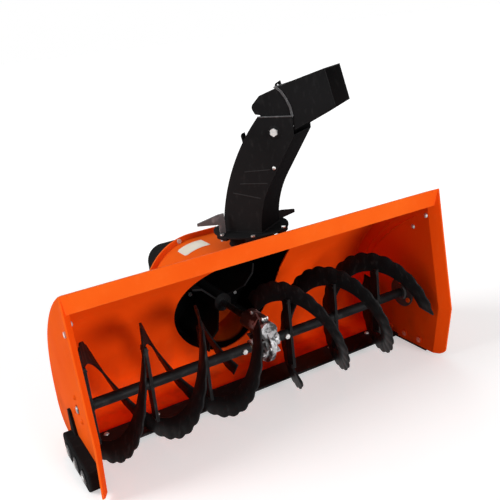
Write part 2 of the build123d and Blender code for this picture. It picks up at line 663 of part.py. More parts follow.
# Neck on the drum, with the flange that the chute turns on
with BuildPart() as chute_neck:
    with BuildSketch(along(neck_x, NECK_Y, 0, -1)) as profile:
        with BuildLine():
            neck_low = drum_top - DRUM_CORNER_R - DRUM_T
            under_flange = neck_top - NECK_FLANGE_T
            neck_outer = NECK_R + NECK_WALL
            Polyline((NECK_R, neck_low), (neck_outer, neck_low), (neck_outer, under_flange),
                     (NECK_FLANGE_R, under_flange), (NECK_FLANGE_R, neck_top), (NECK_R, neck_top), close=True)
        make_face()
    revolve(profile.sketch, axis=Axis((neck_x, NECK_Y, 0), (0, 0, 1)))
    add(drum_block.part, mode=Mode.SUBTRACT)
save(chute_neck, "chute_neck")

# Hitch plates, welded to the housing's back, with a tube across their feet
for side, word in side_names:
    with BuildPart() as hitch_plate:
        with BuildSketch(across(side * hitch_x, 0, 0)) as outline:
            with BuildLine():
                heel_y = back_y - HEEL_RADIUS
                heel_z = FLOOR_Z + HEEL_RADIUS
                pin_edge = HITCH_PIN_Z + HITCH_PIN_R + HITCH_PIN_EDGE
                Polyline((heel_y, HITCH_TOP), (HITCH_SHOULDER, HITCH_TOP), (HITCH_REAR, pin_edge),
                         (HITCH_REAR, 0), (HITCH_FOOT, 0), (heel_y, heel_z), close=True)
            make_face()
        extrude(outline.sketch, amount=HITCH_T / 2, both=True)
        add(inside.part, mode=Mode.SUBTRACT)
        bore([across(side * hitch_x + HITCH_T / 2, HITCH_PIN_Y, HITCH_PIN_Z)], HITCH_PIN_R, HITCH_T)
    save(hitch_plate, f"{word}_hitch_plate")

with BuildPart() as hitch_tube:
    with BuildSketch(across(HITCH_T / 2 - hitch_x, HITCH_TUBE_Y, HITCH_TUBE_Z)):
        RectangleRounded(HITCH_TUBE, HITCH_TUBE, HITCH_TUBE_WALL)
        hollow = HITCH_TUBE - 2 * HITCH_TUBE_WALL
        Rectangle(hollow, hollow, mode=Mode.SUBTRACT)
    extrude(amount=2 * hitch_x - HITCH_T)
save(hitch_tube, "hitch_tube")

# Auger: cross shaft, and on each side a tube that carries two ribbons on spokes
shear_x = [tube_inner_x[side] + side * SHEAR_BOLT_INSET for side in (-1, 1)]
shear_seats = [along(x, AUGER_Y - TUBE_R, auger_z, -1) for x in shear_x]

with BuildPart() as cross_shaft:
    disc(across(-shaft_half, AUGER_Y, auger_z), SHAFT_R, 2 * shaft_half)
    chamfer(cross_shaft.edges().filter_by(GeomType.CIRCLE), length=EDGE_BREAK)
    bore(shear_seats, SHEAR_BOLT_R + HOLE_GAP, 2 * TUBE_R)
save(cross_shaft, "cross_shaft")


def auger_tube(side, name):
    """Tube of one side, pinned to the cross shaft near the gearbox."""
    x_from, x_to = sorted((side * (panel_inner - TUBE_END_GAP), tube_inner_x[side]))
    with BuildPart() as tube:
        disc(across(x_from, AUGER_Y, auger_z), TUBE_R, x_to - x_from)
        disc(across(x_from, AUGER_Y, auger_z), SHAFT_R + TUBE_GAP, x_to - x_from, Mode.SUBTRACT)
        bore(shear_seats, SHEAR_BOLT_R + HOLE_GAP, 2 * TUBE_R)
    save(tube, name)


def auger_ribbon(side, start_turn, name):
    """One ribbon of a side; the two sides wind opposite ways, to carry snow to the middle."""
    x_from, x_to = sorted((side * (panel_inner - RIBBON_END_GAP), ribbon_inner_x[side]))
    turn = radians(90 + start_turn + side * 360 * (x_from - ribbon_top_x[side]) / RIBBON_PITCH)
    outward = (0, cos(turn), sin(turn))
    middle_r = AUGER_R - RIBBON_WIDTH / 2
    start = (x_from, AUGER_Y, auger_z)
    path = helix(start, (1, 0, 0), outward, RIBBON_PITCH, x_to - x_from, middle_r, side < 0)
    with BuildPart() as ribbon:
        with BuildSketch(Plane(path @ 0, x_dir=outward, z_dir=path % 0)) as section:
            Rectangle(RIBBON_WIDTH, RIBBON_T)
        sweep(section.sketch, path=path, is_frenet=True)
    save(ribbon, name)


def auger_spokes(side, name):
    """Flat bars from a tube to the ribbons, wherever the ribbons stand straight up and down."""
    step = RIBBON_PITCH / RIBBON_STARTS
    count = int((ribbon_top_x[side] - tube_inner_x[side]) * side / step) + 1
    with BuildPart() as spokes:
        for i in range(count):
            x = ribbon_top_x[side] - side * i * step
            with BuildSketch(across(x - SPOKE_T / 2, AUGER_Y, auger_z)) as bar:
                Rectangle(SPOKE_WIDTH, 2 * (ribbon_inner_r + SPOKE_WELD))
                Circle(TUBE_R, mode=Mode.SUBTRACT)
            extrude(bar.sketch, amount=SPOKE_T)
    save(spokes, name)


for side, word in side_names:
    auger_tube(side, f"{word}_auger_tube")
    for i in range(RIBBON_STARTS):
        auger_ribbon(side, 360 * i / RIBBON_STARTS, f"{word}_auger_ribbon_{i + 1}")
    auger_spokes(side, f"{word}_auger_spokes")
bolts(shear_seats, "shear_bolts", SHEAR_BOLT_R, 2 * TUBE_R)

# Worm wheel on the cross shaft: teeth lean to the worm's lead
with BuildPart() as worm_wheel:
    wheel_end = across(DRIVE_X - WHEEL_WIDTH / 2, AUGER_Y, auger_z)
    disc(wheel_end, wheel_tip_r, WHEEL_WIDTH)
    disc(wheel_end, SHAFT_R + RUN_GAP, WHEEL_WIDTH, Mode.SUBTRACT)
    lead_angle = atan(worm_lead / (2 * pi * (WORM_OFFSET - WHEEL_PITCH_R)))
    for tooth in range(WHEEL_TEETH):
        turn = radians(90 + 360 * tooth / WHEEL_TEETH)
        root = (DRIVE_X, AUGER_Y + wheel_root_r * cos(turn), auger_z + wheel_root_r * sin(turn))
        slant = (cos(lead_angle), sin(lead_angle) * sin(turn), -sin(lead_angle) * cos(turn))
        with BuildSketch(Plane(root, x_dir=slant, z_dir=(0, cos(turn), sin(turn)))):
            Rectangle(2 * WHEEL_WIDTH, TOOTH_SLOT)
        extrude(amount=2 * (TOOTH_ADDENDUM + TOOTH_DEDENDUM), mode=Mode.SUBTRACT)
save(worm_wheel, "worm_wheel")

# Worm: a sleeve with a two-start left-hand thread
thread_start = (DRIVE_X, worm_front + WORM_THREAD, drive_z)
thread_length = WORM_LENGTH - 2 * WORM_THREAD
thread_root_r = (worm_core_r + JOURNAL_R) / 2
thread_middle_r = (thread_root_r + worm_tip_r) / 2
thread_turn = 180 + 360 * thread_length / 2 / worm_lead
thread_turns = [radians(thread_turn + 360 * start / WORM_STARTS) for start in range(WORM_STARTS)]
thread_sides = [(sin(turn), 0, cos(turn)) for turn in thread_turns]
thread_paths = [helix(thread_start, (0, 1, 0), outward, worm_lead, thread_length, thread_middle_r, True)
                for outward in thread_sides]

with BuildPart() as worm:
    disc(along(DRIVE_X, worm_front, drive_z), worm_core_r, WORM_LENGTH)
    for outward, path in zip(thread_sides, thread_paths):
        with BuildSketch(Plane(path @ 0, x_dir=outward, z_dir=path % 0)) as section:
            Rectangle(worm_tip_r - thread_root_r, WORM_THREAD)
        sweep(section.sketch, path=path, is_frenet=True)
    disc(along(DRIVE_X, worm_front, drive_z), JOURNAL_R + RUN_GAP, WORM_LENGTH, Mode.SUBTRACT)
save(worm, "worm")

# Impeller shaft, stepped down to the worm's bore
with BuildPart() as impeller_shaft:
    journal_front = AUGER_Y - case_front + CASE_WALL
    disc(along(DRIVE_X, journal_front, drive_z), JOURNAL_R, worm_rear - journal_front)
    disc(along(DRIVE_X, worm_rear, drive_z), SHAFT_R, shaft_rear - worm_rear)
    bore([along(DRIVE_X, shaft_rear, drive_z)], PULLEY_BOLT_R + HOLE_GAP, PULLEY_BOLT_LENGTH)
save(impeller_shaft, "impeller_shaft")

# Gearbox case: a wheel drum, shaft bosses and a worm housing, split down the middle
worm_case_r = worm_tip_r + CASE_ROOM + CASE_WALL
wheel_case_r = wheel_tip_r + CASE_ROOM + CASE_WALL
wheel_case_half = WHEEL_WIDTH / 2 + CASE_ROOM + CASE_WALL
bush_r = SHAFT_R + BUSH_WALL
journal_bush_r = JOURNAL_R + BUSH_WALL
case_top = WORM_OFFSET + worm_case_r + CASE_RIM
case_bolt_r = wheel_case_r + CASE_RIM / 2
case_bolt_top = case_top - CASE_RIM / 2
case_bolt_spots = ((-case_bolt_r, 0), (case_bolt_r, 0), (0, -case_bolt_r),
                   (-case_front / 2, case_bolt_top), (CASE_REAR / 2, case_bolt_top))
case_seats = [across(DRIVE_X - CASE_RIM_T, AUGER_Y + v, auger_z + w, -1) for v, w in case_bolt_spots]


def gearbox_half(side, name):
    """One half of the gearbox case."""
    middle = across(DRIVE_X, AUGER_Y, auger_z)
    worm_end = along(DRIVE_X, AUGER_Y - case_front, drive_z)
    left_end = middle.offset(-CASE_HALF_WIDTH)
    with BuildPart() as case:
        disc(middle.offset(-wheel_case_half), wheel_case_r, 2 * wheel_case_half)
        disc(left_end, bush_r + CASE_WALL, 2 * CASE_HALF_WIDTH)
        disc(worm_end, worm_case_r, case_front + CASE_REAR)
        with BuildSketch(middle.offset(-CASE_RIM_T)) as rim:
            Circle(wheel_case_r + CASE_RIM)
            with Locations(((CASE_REAR - case_front) / 2, case_top / 2)):
                RectangleRounded(case_front + CASE_REAR - 2 * CASE_RIM, case_top, CASE_RIM)
        extrude(rim.sketch, amount=2 * CASE_RIM_T)
        with BuildSketch(middle) as ribs:
            with PolarLocations(wheel_case_r / 2, CASE_RIBS, start_angle=360 / CASE_RIBS / 2):
                Rectangle(wheel_case_r, CASE_RIB_T)
        extrude(ribs.sketch, amount=(wheel_case_half + CASE_HALF_WIDTH) / 2, both=True)
        wheel_room = WHEEL_WIDTH / 2 + CASE_ROOM
        disc(middle.offset(-wheel_room), wheel_tip_r + CASE_ROOM, 2 * wheel_room, Mode.SUBTRACT)
        worm_room = WORM_LENGTH / 2 + CASE_ROOM
        disc(worm_end.offset(case_front - worm_room), worm_tip_r + CASE_ROOM, 2 * worm_room, Mode.SUBTRACT)
        disc(left_end, SHAFT_R + CASE_ROOM, 2 * CASE_HALF_WIDTH, Mode.SUBTRACT)
        for end in (left_end, middle.offset(CASE_HALF_WIDTH - BUSH_LENGTH)):
            disc(end, bush_r + RUN_GAP, BUSH_LENGTH, Mode.SUBTRACT)
        disc(worm_end.offset(CASE_WALL), journal_bush_r + RUN_GAP, JOURNAL_BUSH_LENGTH, Mode.SUBTRACT)
        disc(worm_end.offset(case_front), SHAFT_R + CASE_ROOM, CASE_REAR, Mode.SUBTRACT)
        rear_end = worm_end.offset(case_front + CASE_REAR - BUSH_LENGTH)
        disc(rear_end, bush_r + RUN_GAP, BUSH_LENGTH, Mode.SUBTRACT)
        bore(case_seats, CASE_BOLT_R + HOLE_GAP, 2 * CASE_RIM_T)
        split(bisect_by=middle, keep=Keep.TOP if side > 0 else Keep.BOTTOM)
    save(case, name)


for side, word in side_names:
    gearbox_half(side, f"gearbox_{word}_half")
bolts(case_seats, "gearbox_bolts", CASE_BOLT_R, 2 * CASE_RIM_T)

with BuildPart() as gearbox_bushes:
    bushes = [
        (across(DRIVE_X - CASE_HALF_WIDTH, AUGER_Y, auger_z), bush_r, SHAFT_R, BUSH_LENGTH),
        (across(DRIVE_X + CASE_HALF_WIDTH - BUSH_LENGTH, AUGER_Y, auger_z), bush_r, SHAFT_R, BUSH_LENGTH),
        (along(DRIVE_X, AUGER_Y + CASE_REAR - BUSH_LENGTH, drive_z), bush_r, SHAFT_R, BUSH_LENGTH),
        (along(DRIVE_X, AUGER_Y - case_front + CASE_WALL, drive_z), journal_bush_r, JOURNAL_R,
         JOURNAL_BUSH_LENGTH),
    ]
    for end, outer_r, shaft_r, length in bushes:
        disc(end, outer_r, length)
        disc(end, shaft_r + RUN_GAP, length, Mode.SUBTRACT)
save(gearbox_bushes, "gearbox_bushes")

# Impeller: hub and blades with tips bent towards the turn
with BuildPart() as impeller_hub:
    disc(along(DRIVE_X, HUB_FRONT, drive_z), HUB_R, hub_rear - HUB_FRONT)
    chamfer(impeller_hub.edges().filter_by(GeomType.CIRCLE), length=EDGE_BREAK)
    disc(along(DRIVE_X, HUB_FRONT, drive_z), SHAFT_R + RUN_GAP, hub_rear - HUB_FRONT, Mode.SUBTRACT)
save(impeller_hub, "impeller_hub")

drive_axis = Axis((DRIVE_X, 0, drive_z), (0, 1, 0))
drive_section = Plane((DRIVE_X, 0, drive_z), x_dir=(0, 1, 0), z_dir=(1, 0, 0))

with BuildPart() as impeller_blades:
    bend = radians(BLADE_BEND)
    tip_rise = BLADE_TIP * sin(bend)
    tip_out = sqrt((blade_r - BLADE_T) ** 2 - tip_rise**2)
    for i in range(BLADES):
        turn = 2 * pi * (i + 0.5) / BLADES
        base = Plane((DRIVE_X, blade_rear, drive_z), x_dir=(cos(turn), 0, sin(turn)), z_dir=(0, -1, 0))
        with BuildSketch(base) as blade:
            with BuildLine():
                Polyline((HUB_R - BLADE_T, 0), (tip_out - BLADE_TIP * cos(bend), 0), (tip_out, tip_rise))
                offset(amount=BLADE_T, side=Side.LEFT)
            make_face()
            Circle(HUB_R, mode=Mode.SUBTRACT)
        extrude(blade.sketch, amount=blade_rear - BLADE_FRONT)
    with BuildSketch(drive_section) as throat:
        with BuildLine():
            Polyline((BLADE_FRONT, 0), (HUB_FRONT, 0), (HUB_FRONT, HUB_R), (BLADE_FRONT, THROAT_R),
                     close=True)
        make_face()
    revolve(throat.sketch, axis=drive_axis, mode=Mode.SUBTRACT)
save(impeller_blades, "impeller_blades")

with BuildPart() as driven_pulley:
    with BuildSketch(drive_section) as profile:
        with BuildLine():
            groove_y = (pulley_front + shaft_rear) / 2
            floor_r = PULLEY_R - PULLEY_GROOVE_DEPTH
            pulley_bore = SHAFT_R + RUN_GAP
            Polyline(
                (pulley_front, pulley_bore),
                (pulley_front, PULLEY_R),
                (groove_y - PULLEY_GROOVE / 2, PULLEY_R),
                (groove_y - PULLEY_GROOVE_FLOOR / 2, floor_r),
                (groove_y + PULLEY_GROOVE_FLOOR / 2, floor_r),
                (groove_y + PULLEY_GROOVE / 2, PULLEY_R),
                (shaft_rear, PULLEY_R),
                (shaft_rear, pulley_bore),
                close=True,
            )
        make_face()
    revolve(profile.sketch, axis=drive_axis)
save(driven_pulley, "driven_pulley")

with BuildPart() as pulley_bolt:
    shaft_end = along(DRIVE_X, shaft_rear, drive_z)
    disc(shaft_end, WASHER_R, WASHER_T)
    hex_prism(shaft_end.offset(WASHER_T), HEAD_SPREAD * PULLEY_BOLT_R, HEAD_RISE * PULLEY_BOLT_R)
    disc(shaft_end, PULLEY_BOLT_R, -PULLEY_BOLT_LENGTH)
save(pulley_bolt, "pulley_bolt")

# Chute: a turning flange held by keepers, and a curved box with open cheeks at its top
keeper_r = (NECK_FLANGE_R + FACE_GAP + CHUTE_FLANGE_R) / 2
keeper_low = neck_top - NECK_FLANGE_T - FACE_GAP - KEEPER_T
keeper_turns = [radians(angle) for angle in KEEPER_ANGLES]
keeper_spots = [(keeper_r * cos(turn), keeper_r * sin(turn), chute_base) for turn in keeper_turns]
keeper_seats = [Plane(chute_round.from_local_coords(spot)) for spot in keeper_spots]

with BuildPart() as chute_flange:
    disc(chute_round.offset(flange_low), CHUTE_FLANGE_R, CHUTE_FLANGE_T)
    disc(chute_round.offset(flange_low), CHUTE_HOLE_R, CHUTE_FLANGE_T, Mode.SUBTRACT)
    bore(keeper_seats, KEEPER_BOLT_R + HOLE_GAP, CHUTE_FLANGE_T)
save(chute_flange, "chute_flange")


def keeper_arcs(inner_r):
    """Keepers seen from above, from a radius out to the flange's edge."""
    with BuildSketch(chute_round.offset(keeper_low)) as arcs:
        for angle in KEEPER_ANGLES:
            with BuildLine():
                near = CenterArc((0, 0), inner_r, angle - KEEPER_SPAN / 2, KEEPER_SPAN)
                far = CenterArc((0, 0), CHUTE_FLANGE_R, angle - KEEPER_SPAN / 2, KEEPER_SPAN)
                Line(near @ 0, far @ 0)
                Line(near @ 1, far @ 1)
            make_face()
    return arcs.sketch


with BuildPart() as chute_keepers:
    extrude(keeper_arcs(NECK_FLANGE_R - KEEPER_GRIP), amount=KEEPER_T)
    extrude(keeper_arcs(NECK_FLANGE_R + FACE_GAP), amount=flange_low - keeper_low)
    bore(keeper_seats, KEEPER_BOLT_R + HOLE_GAP, chute_base - keeper_low)
save(chute_keepers, "chute_keepers")
bolts(keeper_seats, "chute_bolts", KEEPER_BOLT_R, chute_base - keeper_low)


def back_line():
    """Outer line of the chute's back wall, upwards."""
    turn = degrees(back_top_lean) - CHUTE_BACK_LEAN
    JernArc((CHUTE_BACK, chute_base), (sin(back_lean), cos(back_lean)), CHUTE_BACK_RADIUS, -turn)


def front_line():
    """Outer line of the chute's front wall, upwards."""
    curve = JernArc((CHUTE_FRONT, chute_base), (0, 1), CHUTE_FRONT_RADIUS, -CHUTE_FRONT_LEAN)
    Line(curve @ 1, front_top)


def side_hole(place, radius):
    """Round hole right through from side to side, at a place along the throw and up."""
    with BuildSketch(chute_side) as hole:
        with Locations(place):
            Circle(radius)
    extrude(hole.sketch, amount=CHUTE_WIDTH, both=True, mode=Mode.SUBTRACT)


with BuildSketch(chute_side) as cheek:
    with BuildLine():
        back_line()
        front_line()
        Polyline((back_top, cheek_top), (front_top[0], cheek_top), front_top)
        Line((CHUTE_FRONT, chute_base), (CHUTE_BACK, chute_base))
    make_face()

with BuildSketch(chute_side) as chute_walls:
    with BuildLine():
        back_line()
        offset(amount=CHUTE_WALL, side=Side.RIGHT)
    make_face()
    with BuildLine():
        front_line()
        offset(amount=CHUTE_WALL, side=Side.LEFT)
    make_face()

with BuildPart() as chute_block:
    extrude(cheek.sketch, amount=CHUTE_WIDTH / 2, both=True)

with BuildPart() as chute_strips:
    extrude(chute_walls.sketch, amount=CHUTE_WIDTH / 2, both=True)
    add(chute_block.part, mode=Mode.INTERSECT)

with BuildPart() as chute_shell:
    add(chute_block.part)
    extrude(cheek.sketch, amount=CHUTE_WIDTH / 2 - CHUTE_WALL, both=True, mode=Mode.SUBTRACT)
    add(chute_strips.part)
    side_hole(pivot, PIVOT_R + RUN_GAP)
save(chute_shell, "chute_shell")

# Arm and lug that turn the chute, welded upright on its flange
with BuildPart() as chute_turn_arm:
    with BuildSketch(along(neck_x, NECK_Y + ARM_T / 2, chute_base, -1)) as outline:
        with BuildLine():
            post = ARM_FOOT + ARM_WIDTH
            arm_low = ARM_HEIGHT - ARM_ROOT
            tip_top = ARM_HEIGHT - (ARM_ROOT - ARM_TIP) / 2
            Polyline((-ARM_FOOT, 0), (-ARM_FOOT, ARM_HEIGHT), (-post, ARM_HEIGHT), (-ARM_REACH, tip_top),
                     (-ARM_REACH, tip_top - ARM_TIP), (-post, arm_low), (-post, 0), close=True)
        make_face()
    extrude(outline.sketch, amount=ARM_T)
save(chute_turn_arm, "chute_turn_arm")

with BuildPart() as chute_turn_lug:
    with BuildSketch(along(neck_x, NECK_Y + ARM_T / 2, chute_base, -1)) as outline:
        with BuildLine():
            tip_low = (LUG_HEIGHT - LUG_TIP) / 2
            Polyline((LUG_FOOT, 0), (CHUTE_FLANGE_R, 0), (LUG_REACH, tip_low), (LUG_REACH, tip_low + LUG_TIP),
                     (CHUTE_FLANGE_R, LUG_HEIGHT), (LUG_FOOT, LUG_HEIGHT), close=True)
        make_face()
    extrude(outline.sketch, amount=ARM_T)
save(chute_turn_lug, "chute_turn_lug")

# Cable stop: a foot on the chute's back wall with a leaning finger
with BuildPart() as deflector_cable_stop:
    stop_z = cheek_top - STOP_DROP
    stop_lean, stop_s = back_wall(stop_z)
    spot = chute_side.from_local_coords((stop_s, stop_z, 0))
    up_wall = chute_side.x_dir * sin(stop_lean) + Vector(0, 0, cos(stop_lean))
    with BuildSketch(Plane(spot, x_dir=up_wall, z_dir=chute_side.z_dir)) as outline:
        with BuildLine():
            half = STOP_LENGTH / 2
            Polyline((-half, -CHUTE_WALL / 2), (-half, STOP_T), (0, STOP_T), (STOP_RISE, STOP_REACH),
                     (STOP_RISE + 2 * STOP_T, STOP_REACH), (2 * STOP_T, STOP_T), (half, STOP_T),
                     (half, -CHUTE_WALL / 2), close=True)
        make_face()
    extrude(outline.sketch, amount=STOP_WIDTH / 2, both=True)
    add(chute_block.part, mode=Mode.SUBTRACT)
    across_wall = -chute_side.x_dir * cos(stop_lean) + Vector(0, 0, sin(stop_lean))
    cable_hole = Plane(spot + across_wall * (STOP_REACH + STOP_T) / 2, x_dir=chute_side.z_dir, z_dir=up_wall)
    disc(cable_hole, CABLE_R, STOP_LENGTH, Mode.SUBTRACT)
save(deflector_cable_stop, "deflector_cable_stop")

# Deflector hood: a bent strip between two side plates that hang on the pivot bolts inside the cheeks


def hood_place(offset_from_wall):
    """Place on the hood along the throw and up, from its offset to the back wall's top edge."""
    return (back_top + offset_from_wall[0], cheek_top + offset_from_wall[1])


def hood_line():
    """Outer line of the hood's strip, from its heel over the crown to the outlet."""
    points = [hood_place(spot) for spot in (HOOD_HEEL, HOOD_BACK, HOOD_CROWN, HOOD_BROW, OUTLET_TOP)]
    FilletPolyline(*points, radius=HOOD_BEND_R)


edge_s = front_top[0] - pivot[0]
edge_z = front_top[1] - pivot[1]
wall_near = edge_s * cos(front_lean) - edge_z * sin(front_lean) - CHUTE_WALL
wall_far = hypot(edge_s, edge_z)
wall_angle = degrees(atan2(edge_z, edge_s))

with BuildSketch(chute_side) as hood_side:
    with BuildLine():
        hood_line()
        Polyline(hood_place(OUTLET_TOP), hood_place(OUTLET_LOW), hood_place(HOOD_UNDER),
                 (pivot[0], pivot[1] - EAR_R), (pivot[0] - EAR_R, pivot[1]),
                 hood_place(HOOD_SHOULDER), hood_place(HOOD_HEEL))
    make_face()
    with Locations(pivot):
        Circle(EAR_R)
    with BuildLine(mode=Mode.PRIVATE):
        reach = CenterArc(pivot, (wall_near + wall_far) / 2, -CHUTE_FRONT_LEAN,
                          CHUTE_FRONT_LEAN + DEFLECTOR_DROP + wall_angle + RELIEF_SPARE, mode=Mode.PRIVATE)
    SlotArc(reach, wall_far - wall_near + 2 * RELIEF_GAP, mode=Mode.SUBTRACT)

with BuildSketch(chute_side) as hood_strip:
    with BuildLine():
        hood_line()
        offset(amount=HOOD_T, side=Side.RIGHT)
    make_face()

with BuildPart() as deflector_hood:
    extrude(hood_side.sketch, amount=hood_half, both=True)
    extrude(hood_side.sketch, amount=hood_half - HOOD_T, both=True, mode=Mode.SUBTRACT)
    extrude(hood_strip.sketch, amount=hood_half, both=True)
    side_hole(pivot, PIVOT_R + RUN_GAP)
save(deflector_hood, "deflector_hood")


def pivot_seat(side):
    """Place of a pivot bolt's head on a cheek."""
    spot = chute_side.from_local_coords((*pivot, side * CHUTE_WIDTH / 2))
    return Plane(spot, x_dir=(0, 0, 1), z_dir=chute_side.z_dir * side)


pivot_grip = CHUTE_WALL + HOOD_GAP + HOOD_T + FACE_GAP
bolts([pivot_seat(-1), pivot_seat(1)], "deflector_pivot_bolts", PIVOT_R, pivot_grip)

with BuildPart() as deflector_cable_tab:
    crown = Vector(*hood_place(HOOD_CROWN))
    along_brow = Vector(*hood_place(HOOD_BROW)) - crown
    foot = crown + along_brow * TAB_FROM
    head = crown + along_brow * TAB_TO
    with BuildSketch(chute_side) as outline:
        with BuildLine():
            Polyline(foot, head, head + Vector(-TAB_T, TAB_HEIGHT), foot + Vector(TAB_T, TAB_HEIGHT),
                     close=True)
        make_face()
    extrude(outline.sketch, amount=TAB_T / 2, both=True)
    side_hole(((foot.X + head.X) / 2, (foot.Y + head.Y) / 2 + TAB_HEIGHT / 2), CABLE_R)
save(deflector_cable_tab, "deflector_cable_tab")
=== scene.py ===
"""Dresses the packed snow blower: painted and bare steel, weld beads, wear, and a plain pale studio.

Metres, in the frame of the solids: X across, the open front faces -Y, Z up, with the ground at zero.
"""

import json
from math import cos, pi, radians, sin, sqrt

import bmesh
import bpy
from mathutils import Matrix, Vector, noise


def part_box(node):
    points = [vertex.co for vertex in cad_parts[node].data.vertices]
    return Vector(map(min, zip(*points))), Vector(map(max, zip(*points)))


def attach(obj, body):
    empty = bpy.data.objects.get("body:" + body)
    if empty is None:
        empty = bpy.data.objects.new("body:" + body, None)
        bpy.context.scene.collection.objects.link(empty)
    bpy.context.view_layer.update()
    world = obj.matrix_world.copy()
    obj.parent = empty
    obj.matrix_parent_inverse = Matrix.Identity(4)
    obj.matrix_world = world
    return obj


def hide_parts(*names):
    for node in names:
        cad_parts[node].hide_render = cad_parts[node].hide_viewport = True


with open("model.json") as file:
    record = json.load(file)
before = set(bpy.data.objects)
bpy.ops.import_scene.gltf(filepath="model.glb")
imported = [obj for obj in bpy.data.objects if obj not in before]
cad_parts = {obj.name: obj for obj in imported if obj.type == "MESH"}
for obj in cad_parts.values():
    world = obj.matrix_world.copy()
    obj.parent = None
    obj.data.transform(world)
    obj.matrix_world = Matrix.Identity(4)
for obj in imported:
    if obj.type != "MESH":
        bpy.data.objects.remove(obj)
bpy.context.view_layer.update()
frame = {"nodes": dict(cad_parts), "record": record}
nodes = frame["nodes"]

SIDES = ((-1, "left"), (1, "right"))
ACROSS = Vector((1.0, 0.0, 0.0))
REARWARD = Vector((0.0, 1.0, 0.0))
UP = Vector((0.0, 0.0, 1.0))

# Camera, fitted to the photograph
CAMERA_PLACE = (-0.7885, -1.6472, 1.0234)
CAMERA_AZIMUTH = -28.04
CAMERA_ELEVATION = 19.13
CAMERA_ROLL = 6.34
FOCAL_PIXELS = 680.04
IMAGE_PIXELS = 500
SENSOR_WIDTH = 36.0

# Studio, with each lamp's name, heading, strength and spread in degrees
LAMPS = (
    ("key", (1.0, -0.25, -0.7), 1.95, 30.0),
    ("front", (-0.25, 1.0, -0.21), 2.15, 24.0),
    ("rear", (-0.3, -1.0, -0.5), 0.5, 40.0),
)
SKY_LEVEL = 0.28
FLOOR_GLOW = 0.45
FLOOR_REACH = 30.0
FLOOR_SHADE = 0.98
WHITE = (1.0, 1.0, 1.0, 1.0)

# Colours, in linear light
ORANGE = (0.9, 0.125, 0.011)
ORANGE_DEEP = (0.84, 0.088, 0.006)
ORANGE_WORN = (0.95, 0.22, 0.05)
# Painted shade: the deeper, redder orange of faces inside the housing
ORANGE_PAINTED_SHADE = (0.95, 0.08, 0.004)
BLACK = (0.0085, 0.0085, 0.009)
BLACK_MATT = (0.016, 0.016, 0.0165)
# Deep black, also the painted shade inside the drum and on the chute's front wall
BLACK_DEEP = (0.0045, 0.0045, 0.005)
BLACK_WORN = (0.045, 0.045, 0.045)
AUGER_WORN = (0.075, 0.074, 0.073)
# Lighter black that paints the highlight along the chute's pressed lines
RIDGE_HIGHLIGHT = (0.034, 0.034, 0.035)
# Lighter blacks: a painted highlight on hems, hood strap and skid washers, and wear on the pressed lines
BLACK_HIGHLIGHT_AND_WEAR = (0.07, 0.07, 0.072)
BLACK_HIGHLIGHT_DEEP = (0.035, 0.035, 0.036)
MUD = (0.05, 0.035, 0.025)
SOOT = (0.02, 0.019, 0.018)
GREY = (0.09, 0.09, 0.092)
GREY_DEEP = (0.06, 0.06, 0.062)
STEEL = (0.34, 0.34, 0.35)
STEEL_DARK = (0.14, 0.135, 0.13)
ZINC = (0.72, 0.72, 0.71)
ZINC_DARK = (0.42, 0.42, 0.41)
CAST = (0.62, 0.62, 0.63)
CAST_DARK = (0.16, 0.16, 0.165)
# Near-black of the gearbox: its oily blots, and all of it behind the wheel
CAST_DARKENED = (0.022, 0.021, 0.021)
IRON = (0.12, 0.12, 0.122)
IRON_DARK = (0.05, 0.05, 0.051)
BRONZE = (0.5, 0.3, 0.12)
BRONZE_DARK = (0.28, 0.15, 0.05)
LABEL = (0.78, 0.72, 0.6)
LABEL_DEEP = (0.62, 0.54, 0.42)
FLOOR = (0.8, 0.8, 0.8)

# Noise of the finishes: scale per metre and detail, and for patches the range over which they grow
PAINT_DRIFT = (3.5, 5.0, 0.35, 0.7)
PAINT_SCUFFS = (38.0, 8.0, 0.56, 0.74)
PAINT_RUBS = (22.0, 6.0, 0.3, 0.62)
PAINT_GRIME = (14.0, 7.0, 0.45, 0.75)
PAINT_SHEEN = (9.0, 5.0)
PAINT_PEEL = (420.0, 2.0)
METAL_STAIN = (30.0, 6.0, 0.4, 0.72)
CAST_STAIN = (26.0, 6.0, 0.35, 0.75)
CAST_PEBBLES = (260.0, 3.0)
OIL_BLOTS = (45.0, 3.0, 0.45, 0.53)
FLOOR_MOTTLE = (6.0, 3.0, 0.3, 0.7)
TOOL_MARK_DETAIL = 5.0
NOISE_SPAN = (0.3, 0.7)
EVEN = (1.0, 1.0, 1.0)
SCUFF_STRETCH = (1.0, 2.5, 1.0)

# Relief of the finishes: its strength, its depth, and the radius that softens edges
PAINT_RELIEF = (0.12, 0.0006, 0.0012)
METAL_RELIEF = (0.25, 0.0005, 0.0008)
CAST_RELIEF = (0.55, 0.0012, 0.0016)
BEVEL_SAMPLES = 6

# Sockets of a mix of colours, which come after those for numbers and vectors
MIX_FACTOR, MIX_FIRST, MIX_SECOND = 0, 6, 7
MIX_RESULT = 2

# How far roughness swings about its level as noise rises
PAINT_SWING = (-0.06, 0.1)
METAL_SWING = (-0.08, 0.12)
CAST_SWING = (0.1, -0.06)

# Wear and dirt
RUB_WIDTH = 0.0025
RUB_LEVEL = 0.75
GRIME_TOP = 0.16
GRIME_LEVEL = 0.5
CAST_RUB_WIDTH = 0.003
HOLLOWS = (0.5, 0.3)
HOLLOW_SHADE = 0.6
# How far behind the auger's axis the gearbox turns near-black
DARK_REAR = (0.01, 0.035)
OVERSPRAY_FADE = 0.0005

# Where the masks of faces start and are full, by how far a face looks one way
EDGE_TURNS = (0.985, 0.8)
INWARD_TURNS = (0.0, -0.01)
FRONT_TURNS = (-0.5, -0.9)
ALONG_TURNS = (0.5, 0.8)

